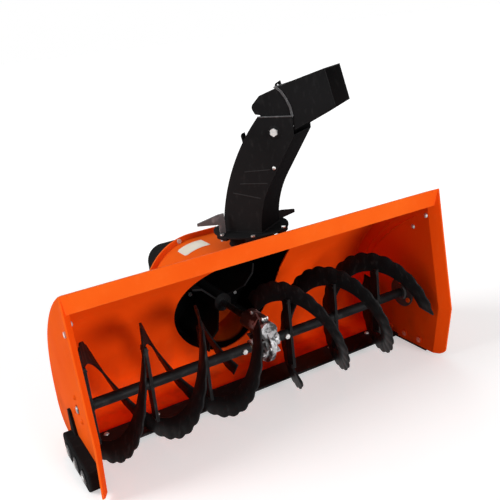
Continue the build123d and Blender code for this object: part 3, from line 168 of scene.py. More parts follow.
# Housing's rolled sheet in section, and the drum behind it
LIP_TOP_Y = -0.306
LIP_TOP_Z = 0.515
ROOF_SLOPE = 17.0
ROOF_TURN = 30.0
ROOF_RADIUS = 0.69
BACK_DROP = 0.022
HEEL_RADIUS = 0.066
FLOOR_Z = 0.009
FLOOR_FRONT = -0.09
SHEET = 0.003
SHEET_STEPS = 24
DRUM_R = 0.163
DRUM_WALL = 0.193
DRUM_CORNER = 0.029
DRUM_SCROLL_FROM = 50.0
DRUM_STEPS = 40
# Round patch on the drum's floor that is left without the painted shade
DRUM_PATCH = (0.064, 0.2, 0.064)
DRUM_PATCH_R = 0.075
DRUM_PATCH_FADE = 0.015
NECK_FOOT_R = 0.067

# Blank label on the drum: from front to rear, round the drum in degrees, and over its face
LABEL_PLACE = (0.13, 0.194)
LABEL_TURNS = (81.0, 115.0)
LABEL_UNDERSIDE = 0.0002
LABEL_FACE = 0.0008
LABEL_CORNER = 0.007
LABEL_STEPS = 16

# Raised seams on the panels' inner faces
SEAM_INSETS = (0.038, 0.058)
SEAM_T = 0.0016
SEAM_WIDTH = 0.004
SEAM_TOP = 0.43

# Auger ribbons and spokes, with the ribbons' rounded edges as shares of their thickness
RIBBON_WIDTH = 0.058
RIBBON_T = 0.005
RIBBON_EDGE = 0.001
RIBBON_INNER_SHARE = 0.7
RIBBON_OUTER_SHARE = 0.6
RIBBON_PITCH = 0.312
RIBBON_TOP_INSETS = {"left": 0.0285, "right": 0.1065}
TEETH_A_TURN = 22
STEPS_A_TOOTH = 8
TOOTH_DEPTH = 0.0055
SPOKE_T = 0.008
SPOKE_HALF_WIDTH = 0.013
SPOKE_END_GAP = 0.001

# Weld beads: radii, how far they stand off a corner, how finely they are made, and their ripples
TUBE_BEAD_R = 0.0028
SPOKE_BEAD_R = 0.0026
PANEL_BEAD_R = 0.0032
DRUM_BEAD_R = 0.0036
STAND_BEAD_R = 0.0034
CHUTE_BEAD_R = 0.0032
BEAD_LIFT = 0.001
PANEL_BEAD_LIFT = 0.0008
SPOKE_BEAD_LIFT = 0.0006
TUBE_BEAD_POINTS = 40
NECK_BEAD_POINTS = 90
HITCH_BEAD_STEPS = 20
BEAD_STEP = 0.0022
BEAD_SIDES = 7
BEAD_LEAST = 0.86
RIPPLE_LEVEL = 0.16
RIPPLE_STEPS = 3
UNEVEN_LEVEL = 0.2
UNEVEN_SCALE = 90.0

# Chute and deflector, with places along the throw and up
CHUTE_HALF = 0.06
CHUTE_FOOT = (-0.059, 0.066)
CHEEK_TOP = ((0.088, 0.757), (0.192, 0.757))
HEM_R = 0.0026
HEM_SUNK = 0.0006
HOOD_HALF = 0.0564
HOOD_TOP_SLOPE = 0.36
STRAP_LINE = ((0.19, 0.757), (0.186, 0.78), (0.176, 0.803), (0.163, 0.822), (0.149, 0.8335))
STRAP_WIDTH = 0.0055
STRAP_T = 0.0025
STRAP_TOP_BACK = 0.004
STRAP_TOP_RISE = 0.0005
SIDE_BOLT = (0.124, 0.618)
SIDE_RIBS = (
    ((0.03, 0.606), (0.112, 0.613)),
    ((0.012, 0.571), (0.1, 0.574)),
    ((-0.014, 0.544), (0.074, 0.53)),
)
SIDE_RIB_R = 0.0022
SIDE_RIB_SUNK = 0.0012

# Rods, whose ends round off over a reach, with a width at each, both in radii
ROD_SIDES = 10
ROD_END = ((0.0, 0.3), (0.4, 0.8), (1.0, 1.0))

# Turned fasteners, as profiles of radius and height, and the skid bolts from front to rear
PIVOT_WASHER = ((0.0105, 0.0), (0.0185, 0.0), (0.0185, 0.0012), (0.0178, 0.0018), (0.0105, 0.0018))
SKID_WASHER = ((0.0075, 0.0004), (0.018, 0.0004), (0.018, 0.0022), (0.0168, 0.0034), (0.0075, 0.0034))
BOLT_HEAD = ((0.001, 0.0), (0.0052, 0.0), (0.0056, 0.0012), (0.0045, 0.0032), (0.0022, 0.0043),
             (0.0004, 0.0046))
WASHER_SIDES = 28
BOLT_SIDES = 20
SKID_BOLT_PLACES = (-0.238, -0.174, -0.11)


def middle_of(node):
    """Middle of a node's box."""
    low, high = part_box(node)
    return (Vector(low) + Vector(high)) / 2


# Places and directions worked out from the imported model
drive_x = middle_of("driven_pulley").x
drive_z = middle_of("driven_pulley").z
auger_axis = middle_of("cross_shaft")
panel_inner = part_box("right_auger_bearing")[1][0]
tube_low, tube_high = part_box("left_auger_tube")
tube_r = (tube_high[2] - tube_low[2]) / 2
ribbon_low, ribbon_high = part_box("left_auger_ribbon_1")
auger_r = (ribbon_high[2] - ribbon_low[2]) / 2
neck = middle_of("chute_neck")
flange_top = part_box("chute_flange")[1][2]
joints = {joint["name"]: joint for joint in frame["record"]["behaviour"]["joints"]}
deflector_pivot = Vector(joints["deflector_tilt"]["pos_m"])
sideways = Vector(joints["deflector_tilt"]["axis"]).normalized()
throw = sideways.cross(UP)


class Shader:
    """A material under construction, with short calls for the nodes that it needs."""

    def __init__(self, name, **sockets):
        self.material = bpy.data.materials.new(name)
        self.material.use_nodes = True
        self.tree = self.material.node_tree
        self.surface = self.feed(self.tree.nodes["Principled BSDF"], **sockets)
        self.place = self.add("ShaderNodeTexCoord").outputs["Object"]

    def add(self, kind, **settings):
        """New node with its settings."""
        node = self.tree.nodes.new(kind)
        for key, value in settings.items():
            setattr(node, key, value)
        return node

    def join(self, value, socket):
        """Link a value to a socket, or set it there."""
        if isinstance(value, bpy.types.NodeSocket):
            self.tree.links.new(value, socket)
        else:
            socket.default_value = value

    def feed(self, node, **inputs):
        """Set or link a node's inputs by name."""
        for key, value in inputs.items():
            self.join(value, node.inputs[key.replace("_", " ")])
        return node

    def noise(self, scale, detail, stretch=EVEN):
        """Noise between 0 and 1, stretched along the axes."""
        mapping = self.feed(self.add("ShaderNodeMapping"), Vector=self.place, Scale=stretch)
        texture = self.add("ShaderNodeTexNoise")
        return self.feed(texture, Vector=mapping.outputs[0], Scale=scale, Detail=detail).outputs[0]

    def remap(self, value, low, high, out_low=0.0, out_high=1.0):
        """Part of a range spread over another, held at its ends."""
        node = self.add("ShaderNodeMapRange")
        self.feed(node, Value=value, From_Min=low, From_Max=high, To_Min=out_low, To_Max=out_high)
        return node.outputs[0]

    def patches(self, scale, detail, low, high, most=1.0, stretch=EVEN):
        """Mask of uneven patches, which grow as noise rises from low to high."""
        return self.remap(self.noise(scale, detail, stretch), low, high, 0.0, most)

    def swung(self, level, swing, by):
        """A level that swings between two offsets with noise."""
        return self.remap(by, *NOISE_SPAN, *(level + offset for offset in swing))

    def calc(self, operation, first, second):
        """Arithmetic on two values, held between 0 and 1."""
        node = self.add("ShaderNodeMath", operation=operation, use_clamp=True)
        self.join(first, node.inputs[0])
        self.join(second, node.inputs[1])
        return node.outputs[0]

    def vectors(self, operation, first, second, result="Value"):
        """Arithmetic on two vectors."""
        node = self.add("ShaderNodeVectorMath", operation=operation)
        self.join(first, node.inputs[0])
        self.join(second, node.inputs[1])
        return node.outputs[result]

    def blend(self, factor, first, second):
        """Colour between two colours."""
        node = self.add("ShaderNodeMix", data_type="RGBA")
        self.join(factor, node.inputs[MIX_FACTOR])
        for index, colour in ((MIX_FIRST, first), (MIX_SECOND, second)):
            self.join((*colour, 1.0) if isinstance(colour, tuple) else colour, node.inputs[index])
        return node.outputs[MIX_RESULT]

    def coordinate(self, vector, axis):
        """One coordinate of a vector."""
        return self.feed(self.add("ShaderNodeSeparateXYZ"), Vector=vector).outputs[axis]

    def normal(self, kind):
        """Surface's normal of one kind."""
        return self.add("ShaderNodeNewGeometry").outputs[kind]

    def rounded(self, radius):
        """Normal with its sharp edges rounded."""
        return self.feed(self.add("ShaderNodeBevel", samples=BEVEL_SAMPLES), Radius=radius).outputs[0]

    def edges(self, radius):
        """Mask of the surface near its sharp edges."""
        turn = self.vectors("DOT_PRODUCT", self.rounded(radius), self.normal("Normal"))
        return self.remap(turn, *EDGE_TURNS)

    def facing_in(self, centre, axes):
        """Mask of faces that look towards a centre, reckoned along the axes given as ones."""
        away = self.vectors("SUBTRACT", self.place, centre, "Vector")
        flat = self.vectors("MULTIPLY", away, axes, "Vector")
        turn = self.vectors("DOT_PRODUCT", flat, self.normal("True Normal"))
        return self.remap(turn, *INWARD_TURNS)

    def facing_front(self):
        """Mask of faces that look to the front."""
        return self.remap(self.coordinate(self.normal("True Normal"), "Y"), *FRONT_TURNS)

    def facing_along(self, way):
        """Mask of faces that look along one of the object's own directions."""
        own_normal = self.add("ShaderNodeTexCoord").outputs["Normal"]
        return self.remap(self.vectors("DOT_PRODUCT", own_normal, way), *ALONG_TURNS)

    def finish(self, colour, roughness, relief, strength, depth, rounding):
        """Join colour, roughness and relief to the surface, with softened edges."""
        bump = self.feed(self.add("ShaderNodeBump"), Strength=strength, Distance=depth, Height=relief,
                         Normal=self.rounded(rounding))
        self.feed(self.surface, Base_Color=colour, Roughness=roughness, Normal=bump.outputs[0])
        return self.material


def paint(name, colour, deep, worn, dirt, roughness, wear, shine, painted_shade=None, inside_shade=None):
    """Sprayed paint: soft drifts of tone, orange peel, rubbed edges and road dirt near the ground.

    Painted shade goes on in two ways: a deeper, redder orange on faces that look to the auger, and deep
    black where a mask says so.
    """
    shader = Shader(name, Specular_IOR_Level=shine)
    tone = shader.blend(shader.patches(*PAINT_DRIFT), colour, deep)
    # Painted shade: faces that look to the auger take a deeper, redder orange
    if inside_shade:
        tone = shader.blend(shader.facing_in(auger_axis, EVEN), tone, inside_shade)
    scuffs = shader.patches(*PAINT_SCUFFS, wear, SCUFF_STRETCH)
    rubbed = shader.calc("MULTIPLY", shader.edges(RUB_WIDTH), shader.patches(*PAINT_RUBS))
    marks = shader.calc("MAXIMUM", shader.calc("MULTIPLY", rubbed, RUB_LEVEL), scuffs)
    tone = shader.blend(marks, tone, worn)
    low = shader.remap(shader.coordinate(shader.place, "Z"), GRIME_TOP, 0.0, 0.0, GRIME_LEVEL)
    grime = shader.calc("MULTIPLY", low, shader.patches(*PAINT_GRIME))
    tone = shader.blend(grime, tone, dirt)
    # Painted shade: deep black where the mask says so
    if painted_shade:
        tone = shader.blend(painted_shade(shader), tone, BLACK_DEEP)
    rough = shader.swung(roughness, PAINT_SWING, by=shader.noise(*PAINT_SHEEN))
    return shader.finish(tone, rough, shader.noise(*PAINT_PEEL), *PAINT_RELIEF)


def metal(name, colour, dark, roughness, grain, stretch=EVEN, metallic=1.0, painted=None):
    """Bare or plated metal: stained tone and tool marks, painted over where a mask says so."""
    shader = Shader(name, Metallic=metallic)
    tone = shader.blend(shader.patches(*METAL_STAIN), colour, dark)
    if painted:
        cover = painted(shader)
        tone = shader.blend(cover, tone, ORANGE_DEEP)
        shader.feed(shader.surface, Metallic=shader.remap(cover, 0.0, 1.0, metallic, 0.0))
    marks = shader.noise(grain, TOOL_MARK_DETAIL, stretch)
    rough = shader.swung(roughness, METAL_SWING, by=marks)
    return shader.finish(tone, rough, marks, *METAL_RELIEF)


def casting(name, colour, dark, roughness, metallic, darkened=None):
    """Sand casting: pebbled skin with dark settled into it, and near-black where a mask says so."""
    shader = Shader(name, Metallic=metallic)
    pebbles = shader.noise(*CAST_PEBBLES)
    hollows = shader.remap(pebbles, *HOLLOWS, 0.0, HOLLOW_SHADE)
    settled = shader.calc("MAXIMUM", shader.patches(*CAST_STAIN), hollows)
    tone = shader.blend(shader.edges(CAST_RUB_WIDTH), shader.blend(settled, colour, dark), colour)
    # Near-black where the mask says so
    if darkened:
        cover = darkened(shader)
        tone = shader.blend(cover, tone, CAST_DARKENED)
        shader.feed(shader.surface, Metallic=shader.remap(cover, 0.0, 1.0, metallic, 0.0))
    rough = shader.swung(roughness, CAST_SWING, by=pebbles)
    return shader.finish(tone, rough, pebbles, *CAST_RELIEF)


def off_patch(shader):
    """Mask of the drum outside the round patch of bare orange on its floor, which is kept free of the
    painted shade.
    """
    reach = shader.vectors("DISTANCE", shader.place, DRUM_PATCH)
    return shader.remap(reach, DRUM_PATCH_R, DRUM_PATCH_R + DRUM_PATCH_FADE)


def drum_wall_shade(shader):
    """Mask of painted shade on the drum wall's inner face, off the patch."""
    inner = shader.facing_in((drive_x, 0.0, drive_z), (1.0, 0.0, 1.0))
    return shader.calc("MULTIPLY", inner, off_patch(shader))


def back_plate_shade(shader):
    """Mask of painted shade on the back plate's front face, off the patch."""
    return shader.calc("MULTIPLY", shader.facing_front(), off_patch(shader))


def between_panels(shader):
    """Mask of what stands inside the side panels."""
    across = shader.add("ShaderNodeMath", operation="ABSOLUTE")
    shader.join(shader.coordinate(shader.place, "X"), across.inputs[0])
    return shader.remap(across.outputs[0], panel_inner + OVERSPRAY_FADE, panel_inner)


def gearbox_blots_and_dark_rear(shader):
    """Mask of near-black on the gearbox: in oily blots, and all over the worm housing behind the wheel."""
    first, last = (auger_axis.y + past for past in DARK_REAR)
    rear = shader.remap(shader.coordinate(shader.place, "Y"), first, last)
    return shader.calc("MAXIMUM", rear, shader.patches(*OIL_BLOTS))


def chute_front_shade(shader):
    """Mask of painted shade on the chute's front wall."""
    return shader.facing_along(throw)


orange_look = {"colour": ORANGE, "deep": ORANGE_DEEP, "worn": ORANGE_WORN, "dirt": MUD,
               "roughness": 0.55, "wear": 0.1, "shine": 0.005}
black_look = {"colour": BLACK_MATT, "deep": BLACK, "worn": BLACK_WORN, "dirt": SOOT,
              "roughness": 0.72, "wear": 0.22, "shine": 0.005}
zinc_look = {"colour": ZINC, "dark": ZINC_DARK, "roughness": 0.28, "grain": 300.0, "metallic": 0.6}
cast_look = {"colour": CAST, "dark": CAST_DARK, "roughness": 0.38, "metallic": 0.3}

# Finish of each of the record's material slots
materials = {
    # Orange paint, with painted shade in a redder orange on faces inside the housing
    "orange_paint": paint("orange_paint", **orange_look, inside_shade=ORANGE_PAINTED_SHADE),
    "black_paint": paint("black_paint", **black_look),
    "auger_paint": paint("auger_paint", BLACK, BLACK_DEEP, AUGER_WORN, SOOT,
                         roughness=0.5, wear=0.3, shine=0.1),
    "grey_plate": paint("grey_plate", GREY, GREY_DEEP, STEEL, SOOT, roughness=0.5, wear=0.4, shine=0.2),
    "bare_steel": metal("bare_steel", STEEL, STEEL_DARK,
                        roughness=0.3, grain=160.0, stretch=(1.0, 18.0, 18.0)),
    "zinc_plate": metal("zinc_plate", **zinc_look),
    "cast_aluminium": casting("cast_aluminium", **cast_look),
    "cast_iron": casting("cast_iron", IRON, IRON_DARK, roughness=0.5, metallic=0.7),
    "bronze_bush": metal("bronze_bush", BRONZE, BRONZE_DARK, roughness=0.34, grain=200.0),
}

# Finishes of single pieces
# Gearbox casting, near-black in oily blots and all over behind the wheel
gearbox_cast = casting("gearbox_cast", **cast_look, darkened=gearbox_blots_and_dark_rear)
# Lighter black that paints a highlight on hems, the hood strap and skid washers
highlight_black = paint("highlight_black", BLACK_HIGHLIGHT_AND_WEAR, BLACK_HIGHLIGHT_DEEP, STEEL, SOOT, roughness=0.45, wear=0.3, shine=0.3)
# Pressed lines in a lighter black: a painted highlight
ridge_highlight_black = paint("ridge_highlight_black", RIDGE_HIGHLIGHT, BLACK_MATT, BLACK_HIGHLIGHT_AND_WEAR, SOOT, roughness=0.6, wear=0.3, shine=0.02)
blank_label = paint("blank_label", LABEL, LABEL_DEEP, LABEL, LABEL_DEEP, roughness=0.4, wear=0.0, shine=0.3)
own_finishes = {
    # Drum and back plate: orange paint with painted shade, deep black inside the drum off a round patch
    "impeller_drum": paint("drum_paint_and_shade", **orange_look, painted_shade=drum_wall_shade),
    "drum_back_plate": paint("plate_paint_and_shade", **orange_look, painted_shade=back_plate_shade),
    # Chute shell: black paint with painted shade, a deeper black on its front wall
    "chute_shell": paint("chute_paint_and_shade", **black_look, painted_shade=chute_front_shade),
    "gearbox_left_half": gearbox_cast,
    "gearbox_right_half": gearbox_cast,
    "skid_bolts": metal("skid_bolt_finish", **zinc_look, painted=between_panels),
    "auger_bearing_bolts": materials["orange_paint"],
}

for part in frame["record"]["subparts"]:
    dressed = nodes[part["node"]].data.materials
    dressed.clear()
    dressed.append(own_finishes.get(part["node"], materials[part["material_slot"]]))


def loft(rings, loop=False):
    """Skin over a row of closed rings: its points and faces, capped at both ends unless it is a loop."""
    size = len(rings[0])
    count = len(rings)
    points = [point for ring in rings for point in ring]
    faces = []
    for i in range(count if loop else count - 1):
        here = i * size
        there = (i + 1) % count * size
        for j in range(size):
            k = (j + 1) % size
            faces.append((here + j, here + k, there + k, there + j))
    if not loop:
        faces.append(tuple(range(size)))
        faces.append(tuple(range((count - 1) * size, count * size)))
    return points, faces


def piece(name, skins, slot, body, smooth=True, finish=None):
    """One object from several skins, in a finish, carried by a body."""
    points = []
    faces = []
    for skin_points, skin_faces in skins:
        start = len(points)
        points += [tuple(point) for point in skin_points]
        faces += [tuple(start + i for i in face) for face in skin_faces]
    mesh = bpy.data.meshes.new(name)
    mesh.from_pydata(points, [], faces)
    work = bmesh.new()
    work.from_mesh(mesh)
    bmesh.ops.recalc_face_normals(work, faces=work.faces)
    work.to_mesh(mesh)
    work.free()
    for polygon in mesh.polygons:
        polygon.use_smooth = smooth and len(polygon.vertices) == 4
    mesh.materials.append(finish or materials[slot])
    made = bpy.data.objects.new(name, mesh)
    bpy.context.scene.collection.objects.link(made)
    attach(made, body)
    return made


def circle(middle, first, second, radius, sides):
    """Points round a middle, in the plane of two directions."""
    turns = [2 * pi * i / sides for i in range(sides)]
    return [middle + (first * cos(turn) + second * sin(turn)) * radius for turn in turns]


def spaced(path, step, loop=False):
    """Points evenly spaced along a path."""
    path = [Vector(point) for point in path]
    if loop:
        path.append(path[0])
    lengths = [(b - a).length for a, b in zip(path, path[1:])]
    count = max(2, round(sum(lengths) / step))
    step = sum(lengths) / count
    points = [path[0]]
    at = 0
    passed = 0.0
    for i in range(1, count):
        while passed + lengths[at] < i * step:
            passed += lengths[at]
            at += 1
        points.append(path[at].lerp(path[at + 1], (i * step - passed) / lengths[at]))
    return points if loop else points + [path[-1]]


def bead(path, radius, loop=False):
    """Weld bead along a path: a round skin with ripples and small unevenness."""
    points = spaced(path, BEAD_STEP, loop)
    count = len(points)
    normal = None
    rings = []
    for i, point in enumerate(points):
        before = points[i - 1] if i or loop else point
        after = points[(i + 1) % count] if i + 1 < count or loop else point
        ahead = (after - before).normalized()
        normal = ahead.orthogonal() if normal is None else normal - ahead * normal.dot(ahead)
        normal.normalize()
        ripple = RIPPLE_LEVEL * (i % RIPPLE_STEPS) / RIPPLE_STEPS
        size = radius * (BEAD_LEAST + ripple + UNEVEN_LEVEL * noise.noise(point * UNEVEN_SCALE))
        rings.append(circle(point, normal, ahead.cross(normal), size, BEAD_SIDES))
    return loft(rings, loop)


def rod(start, stop, radius):
    """Plain round rod between two points, with blunt rounded ends."""
    ahead = (stop - start).normalized()
    first = ahead.orthogonal().normalized()
    second = ahead.cross(first)
    rows = [(start + ahead * radius * reach, share) for reach, share in ROD_END]
    rows += [(stop - ahead * radius * reach, share) for reach, share in reversed(ROD_END)]
    return loft([circle(point, first, second, radius * share, ROD_SIDES) for point, share in rows])


def bar(path, across, width, thickness):
    """Flat bar along a path, with its width along a fixed direction."""
    points = [Vector(point) for point in path]
    across = across.normalized()
    corners = ((-0.5, -0.5), (0.5, -0.5), (0.5, 0.5), (-0.5, 0.5))
    rings = []
    for i, point in enumerate(points):
        ahead = points[min(i + 1, len(points) - 1)] - points[max(i - 1, 0)]
        out = ahead.cross(across).normalized()
        rings.append([point + across * width * u + out * thickness * v for u, v in corners])
    return loft(rings)


def turned(centre, axis, profile, sides):
    """Skin turned about an axis from a profile of radius and height."""
    first = axis.orthogonal().normalized()
    second = axis.cross(first)
    rings = [circle(centre + axis * height, first, second, radius, sides) for radius, height in profile]
    return loft(rings)


def chute_point(along, up, out):
    """Point of the chute, from its place along the throw, its height and its distance to one side."""
    return Vector((neck.x, neck.y, 0.0)) + throw * along + sideways * out + UP * up


# Arcs of the rolled sheet, with angles in degrees from straight up
roof_centre_y = LIP_TOP_Y - ROOF_RADIUS * sin(radians(ROOF_SLOPE))
roof_centre_z = LIP_TOP_Z - ROOF_RADIUS * cos(radians(ROOF_SLOPE))
roof_end = ROOF_SLOPE + ROOF_TURN
roof_end_y = roof_centre_y + ROOF_RADIUS * sin(radians(roof_end))
roof_end_z = roof_centre_z + ROOF_RADIUS * cos(radians(roof_end))
heel_top = FLOOR_Z + HEEL_RADIUS
back_centre_z = heel_top + BACK_DROP
back_radius = (roof_end_z - back_centre_z) / cos(radians(roof_end))
back_centre_y = roof_end_y - back_radius * sin(radians(roof_end))
back_y = back_centre_y + back_radius
heel_centre_y = back_y - HEEL_RADIUS


def sheet_path(inset):
    """Rolled sheet's line in section, from lip to floor, set in from its outer face."""
    arcs = (
        (roof_centre_y, roof_centre_z, ROOF_RADIUS, ROOF_SLOPE, roof_end),
        (back_centre_y, back_centre_z, back_radius, roof_end, 90.0),
        (heel_centre_y, heel_top, HEEL_RADIUS, 90.0, 180.0),
    )
    line = []
    for y, z, radius, first, last in arcs:
        for i in range(SHEET_STEPS + 1):
            turn = radians(first + (last - first) * i / SHEET_STEPS)
            line.append((y + (radius - inset) * sin(turn), z + (radius - inset) * cos(turn)))
    return line + [(FLOOR_FRONT, FLOOR_Z + inset)]


def sheet_back(z):
    """How far back the sheet's outer face stands at a height."""
    if z >= roof_end_z:
        return roof_centre_y + sqrt(ROOF_RADIUS**2 - (z - roof_centre_z) ** 2)
    if z >= back_centre_z:
        return back_centre_y + sqrt(back_radius**2 - (z - back_centre_z) ** 2)
    if z >= heel_top:
        return back_y
    return heel_centre_y + sqrt(HEEL_RADIUS**2 - (z - heel_top) ** 2)


def drum_line():
    """Drum's outer line from the impeller's axis: a circle that opens to a straight wall."""
    leave = radians(DRUM_SCROLL_FROM)
    scroll_r = (DRUM_WALL - DRUM_R * cos(leave)) / (1 - cos(leave))
    scroll_low = (scroll_r - DRUM_R) * sin(leave)
    arcs = (
        (0.0, 0.0, DRUM_R, 90.0, 360.0 - DRUM_SCROLL_FROM),
        (DRUM_WALL - scroll_r, scroll_low, scroll_r, -DRUM_SCROLL_FROM, 0.0),
        (DRUM_WALL - DRUM_CORNER, DRUM_R - DRUM_CORNER, DRUM_CORNER, 0.0, 90.0),
    )
    line = []
    for u, w, radius, first, last in arcs:
        for i in range(DRUM_STEPS + 1):
            turn = radians(first + (last - first) * i / DRUM_STEPS)
            line.append((u + radius * cos(turn), w + radius * sin(turn)))
    return line


def drum_top(x):
    """Height of the drum's top at a distance across."""
    past = x - drive_x - (DRUM_WALL - DRUM_CORNER)
    if past <= 0:
        return drive_z + DRUM_R
    return drive_z + DRUM_R - DRUM_CORNER + sqrt(max(0.0, DRUM_CORNER**2 - past**2))


def serrated_ribbon(side, word, index):
    """Auger ribbon with a toothed outer edge, in place of a plain one."""
    name = f"{word}_auger_ribbon_{index}"
    low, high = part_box(name)
    top_x = side * (panel_inner - RIBBON_TOP_INSETS[word])
    reach = high[0] - low[0]
    steps = round(reach / RIBBON_PITCH * TEETH_A_TURN * STEPS_A_TOOTH)
    inner = auger_r - RIBBON_WIDTH
    middle_r = auger_r - RIBBON_WIDTH / 2
    rings = []
    for i in range(steps + 1):
        x = low[0] + reach * i / steps
        turn = radians(90 + 180 * (index - 1)) + side * 2 * pi * (x - top_x) / RIBBON_PITCH
        outward = Vector((0.0, cos(turn), sin(turn)))
        round_way = Vector((0.0, -sin(turn), cos(turn))) * side
        ahead = (ACROSS * RIBBON_PITCH / (2 * pi) + round_way * middle_r).normalized()
        thick = ahead.cross(outward) * RIBBON_T / 2
        outer = auger_r - TOOTH_DEPTH * (1 - abs(sin(turn * TEETH_A_TURN / 2)))
        face = ((inner, RIBBON_INNER_SHARE), (inner + RIBBON_EDGE, 1.0),
                (outer - RIBBON_EDGE, 1.0), (outer, RIBBON_OUTER_SHARE))
        section = [(radius, -way) for radius, way in face] + list(reversed(face))
        axis_point = Vector((x, auger_axis.y, auger_axis.z))
        rings.append([axis_point + outward * radius + thick * way for radius, way in section])
    made = piece(f"{word}_ribbon_{index}", [loft(rings)], "auger_paint", "auger")
    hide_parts(name)


def auger_welds(word):
    """Beads round the tube at each spoke, and across each spoke's ends at the ribbons."""
    low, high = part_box(f"{word}_auger_spokes")
    spoke_step = RIBBON_PITCH / 2
    spokes = round((high[0] - low[0] - SPOKE_T) / spoke_step) + 1
    end_r = auger_r - RIBBON_WIDTH - SPOKE_END_GAP
    skins = []
    for i in range(spokes):
        spoke_x = low[0] + SPOKE_T / 2 + i * spoke_step
        for face in (-1, 1):
            x = spoke_x + face * (SPOKE_T / 2 + SPOKE_BEAD_LIFT)
            middle = Vector((x, auger_axis.y, auger_axis.z))
            ring = circle(middle, REARWARD, UP, tube_r, TUBE_BEAD_POINTS)
            skins.append(bead(ring, TUBE_BEAD_R, loop=True))
            for end in (-1, 1):
                ends = [middle + REARWARD * way * SPOKE_HALF_WIDTH + UP * end * end_r for way in (-1, 1)]
                skins.append(bead(ends, SPOKE_BEAD_R))
    piece(f"{word}_auger_welds", skins, "auger_paint", "auger")


def housing_welds():
    """Beads along the panels, and where drum, neck and hitch plates meet what carries them."""
    for side, word in SIDES:
        x = side * (panel_inner - PANEL_BEAD_LIFT)
        line = [(x, y, z) for y, z in sheet_path(SHEET + PANEL_BEAD_LIFT)]
        piece(f"{word}_panel_weld", [bead(line, PANEL_BEAD_R)], "orange_paint", "housing")
    seam = [(drive_x + u, sheet_back(drive_z + w) + BEAD_LIFT, drive_z + w) for u, w in drum_line()]
    piece("drum_weld", [bead(seam, DRUM_BEAD_R, loop=True)], "orange_paint", "housing")
    foot = circle(neck, ACROSS, REARWARD, NECK_FOOT_R, NECK_BEAD_POINTS)
    ring = [(point.x, point.y, drum_top(point.x) + BEAD_LIFT) for point in foot]
    piece("neck_weld", [bead(ring, STAND_BEAD_R, loop=True)], "black_paint", "housing")
    skins = []
    for _, word in SIDES:
        low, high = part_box(f"{word}_hitch_plate")
        rise = (high[2] - heel_top) / HITCH_BEAD_STEPS
        heights = [heel_top + rise * i for i in range(HITCH_BEAD_STEPS + 1)]
        for x in (low[0], high[0]):
            skins.append(bead([(x, sheet_back(z) + BEAD_LIFT, z) for z in heights], STAND_BEAD_R))
    piece("hitch_welds", skins, "black_paint", "housing")


def panel_seams():
    """Raised double seam on each panel's inner face, ahead of the rolled sheet."""
    for side, word in SIDES:
        x = side * (panel_inner - SEAM_T / 2)
        skins = []
        for inset in SEAM_INSETS:
            line = [(x, y, z) for y, z in sheet_path(inset) if heel_top < z < SEAM_TOP]
            skins.append(bar(line, ACROSS, SEAM_T, SEAM_WIDTH))
        piece(f"{word}_panel_seam", skins, "orange_paint", "housing")


def drum_label():
    """Blank pale patch with round corners, bent over the drum's top."""
    front, rear = LABEL_PLACE
    first, last = (radians(turn) for turn in LABEL_TURNS)
    rings = []
    for i in range(LABEL_STEPS + 1):
        share = i / LABEL_STEPS
        turn = first + (last - first) * share
        short = max(0.0, LABEL_CORNER - min(share, 1 - share) * (last - first) * DRUM_R)
        cut = LABEL_CORNER - sqrt(LABEL_CORNER**2 - short**2)
        ring = []
        for y, rise in ((front + cut, LABEL_UNDERSIDE), (rear - cut, LABEL_UNDERSIDE),
                        (rear - cut, LABEL_FACE), (front + cut, LABEL_FACE)):
            radius = DRUM_R + rise
            ring.append((drive_x + radius * cos(turn), y, drive_z + radius * sin(turn)))
        rings.append(ring)
    piece("drum_label", [loft(rings)], "orange_paint", "housing", smooth=False, finish=blank_label)


def chute_details():
    """Base weld, pressed lines, hems on the cheeks, washers and small bolts on the chute's sides."""
    back, front = CHUTE_FOOT
    corners = ((back, -1), (front, -1), (front, 1), (back, 1))
    foot = [chute_point(along, flange_top + BEAD_LIFT, side * CHUTE_HALF) for along, side in corners]
    piece("chute_base_weld", [bead(foot, CHUTE_BEAD_R, loop=True)], "black_paint", "chute")
    hems = []
    washers = []
    bolts = []
    ribs = []
    for side in (-1, 1):
        outward = sideways * side
        hem = [chute_point(along, up, side * (CHUTE_HALF - HEM_SUNK)) for along, up in CHEEK_TOP]
        hems.append(bead(hem, HEM_R))
        washers.append(turned(deflector_pivot + outward * CHUTE_HALF, outward, PIVOT_WASHER, WASHER_SIDES))
        bolts.append(turned(chute_point(*SIDE_BOLT, side * CHUTE_HALF), outward, BOLT_HEAD, BOLT_SIDES))
        for ends in SIDE_RIBS:
            line = [chute_point(along, up, side * (CHUTE_HALF - SIDE_RIB_SUNK)) for along, up in ends]
            ribs.append(rod(*line, SIDE_RIB_R))
    # Pressed lines in a lighter black that paints their highlight
    piece("chute_side_ribs", ribs, "black_paint", "chute", finish=ridge_highlight_black)
    # Cheek hems in a lighter black that paints the highlight along them
    piece("cheek_hems", hems, "black_paint", "chute", finish=highlight_black)
    piece("pivot_washers", washers, "black_paint", "chute")
    piece("chute_side_bolts", bolts, "zinc_plate", "chute")


def hood_strap():
    """Strap round the hood: up both sides and over its top."""
    over = HOOD_HALF + STRAP_T / 2
    skins = []
    for side in (-1, 1):
        line = [chute_point(along, up, side * over) for along, up in STRAP_LINE]
        skins.append(bar(line, sideways, STRAP_T, STRAP_WIDTH))
    along, up = STRAP_LINE[-1]
    reach = over + STRAP_T / 2
    top = [chute_point(along - STRAP_TOP_BACK, up + STRAP_TOP_RISE, side * reach) for side in (-1, 1)]
    skins.append(bar(top, throw + UP * HOOD_TOP_SLOPE, STRAP_WIDTH, STRAP_T))
    # The strap is in a lighter black that paints its highlight
    piece("hood_strap", skins, "black_paint", "deflector", smooth=False, finish=highlight_black)


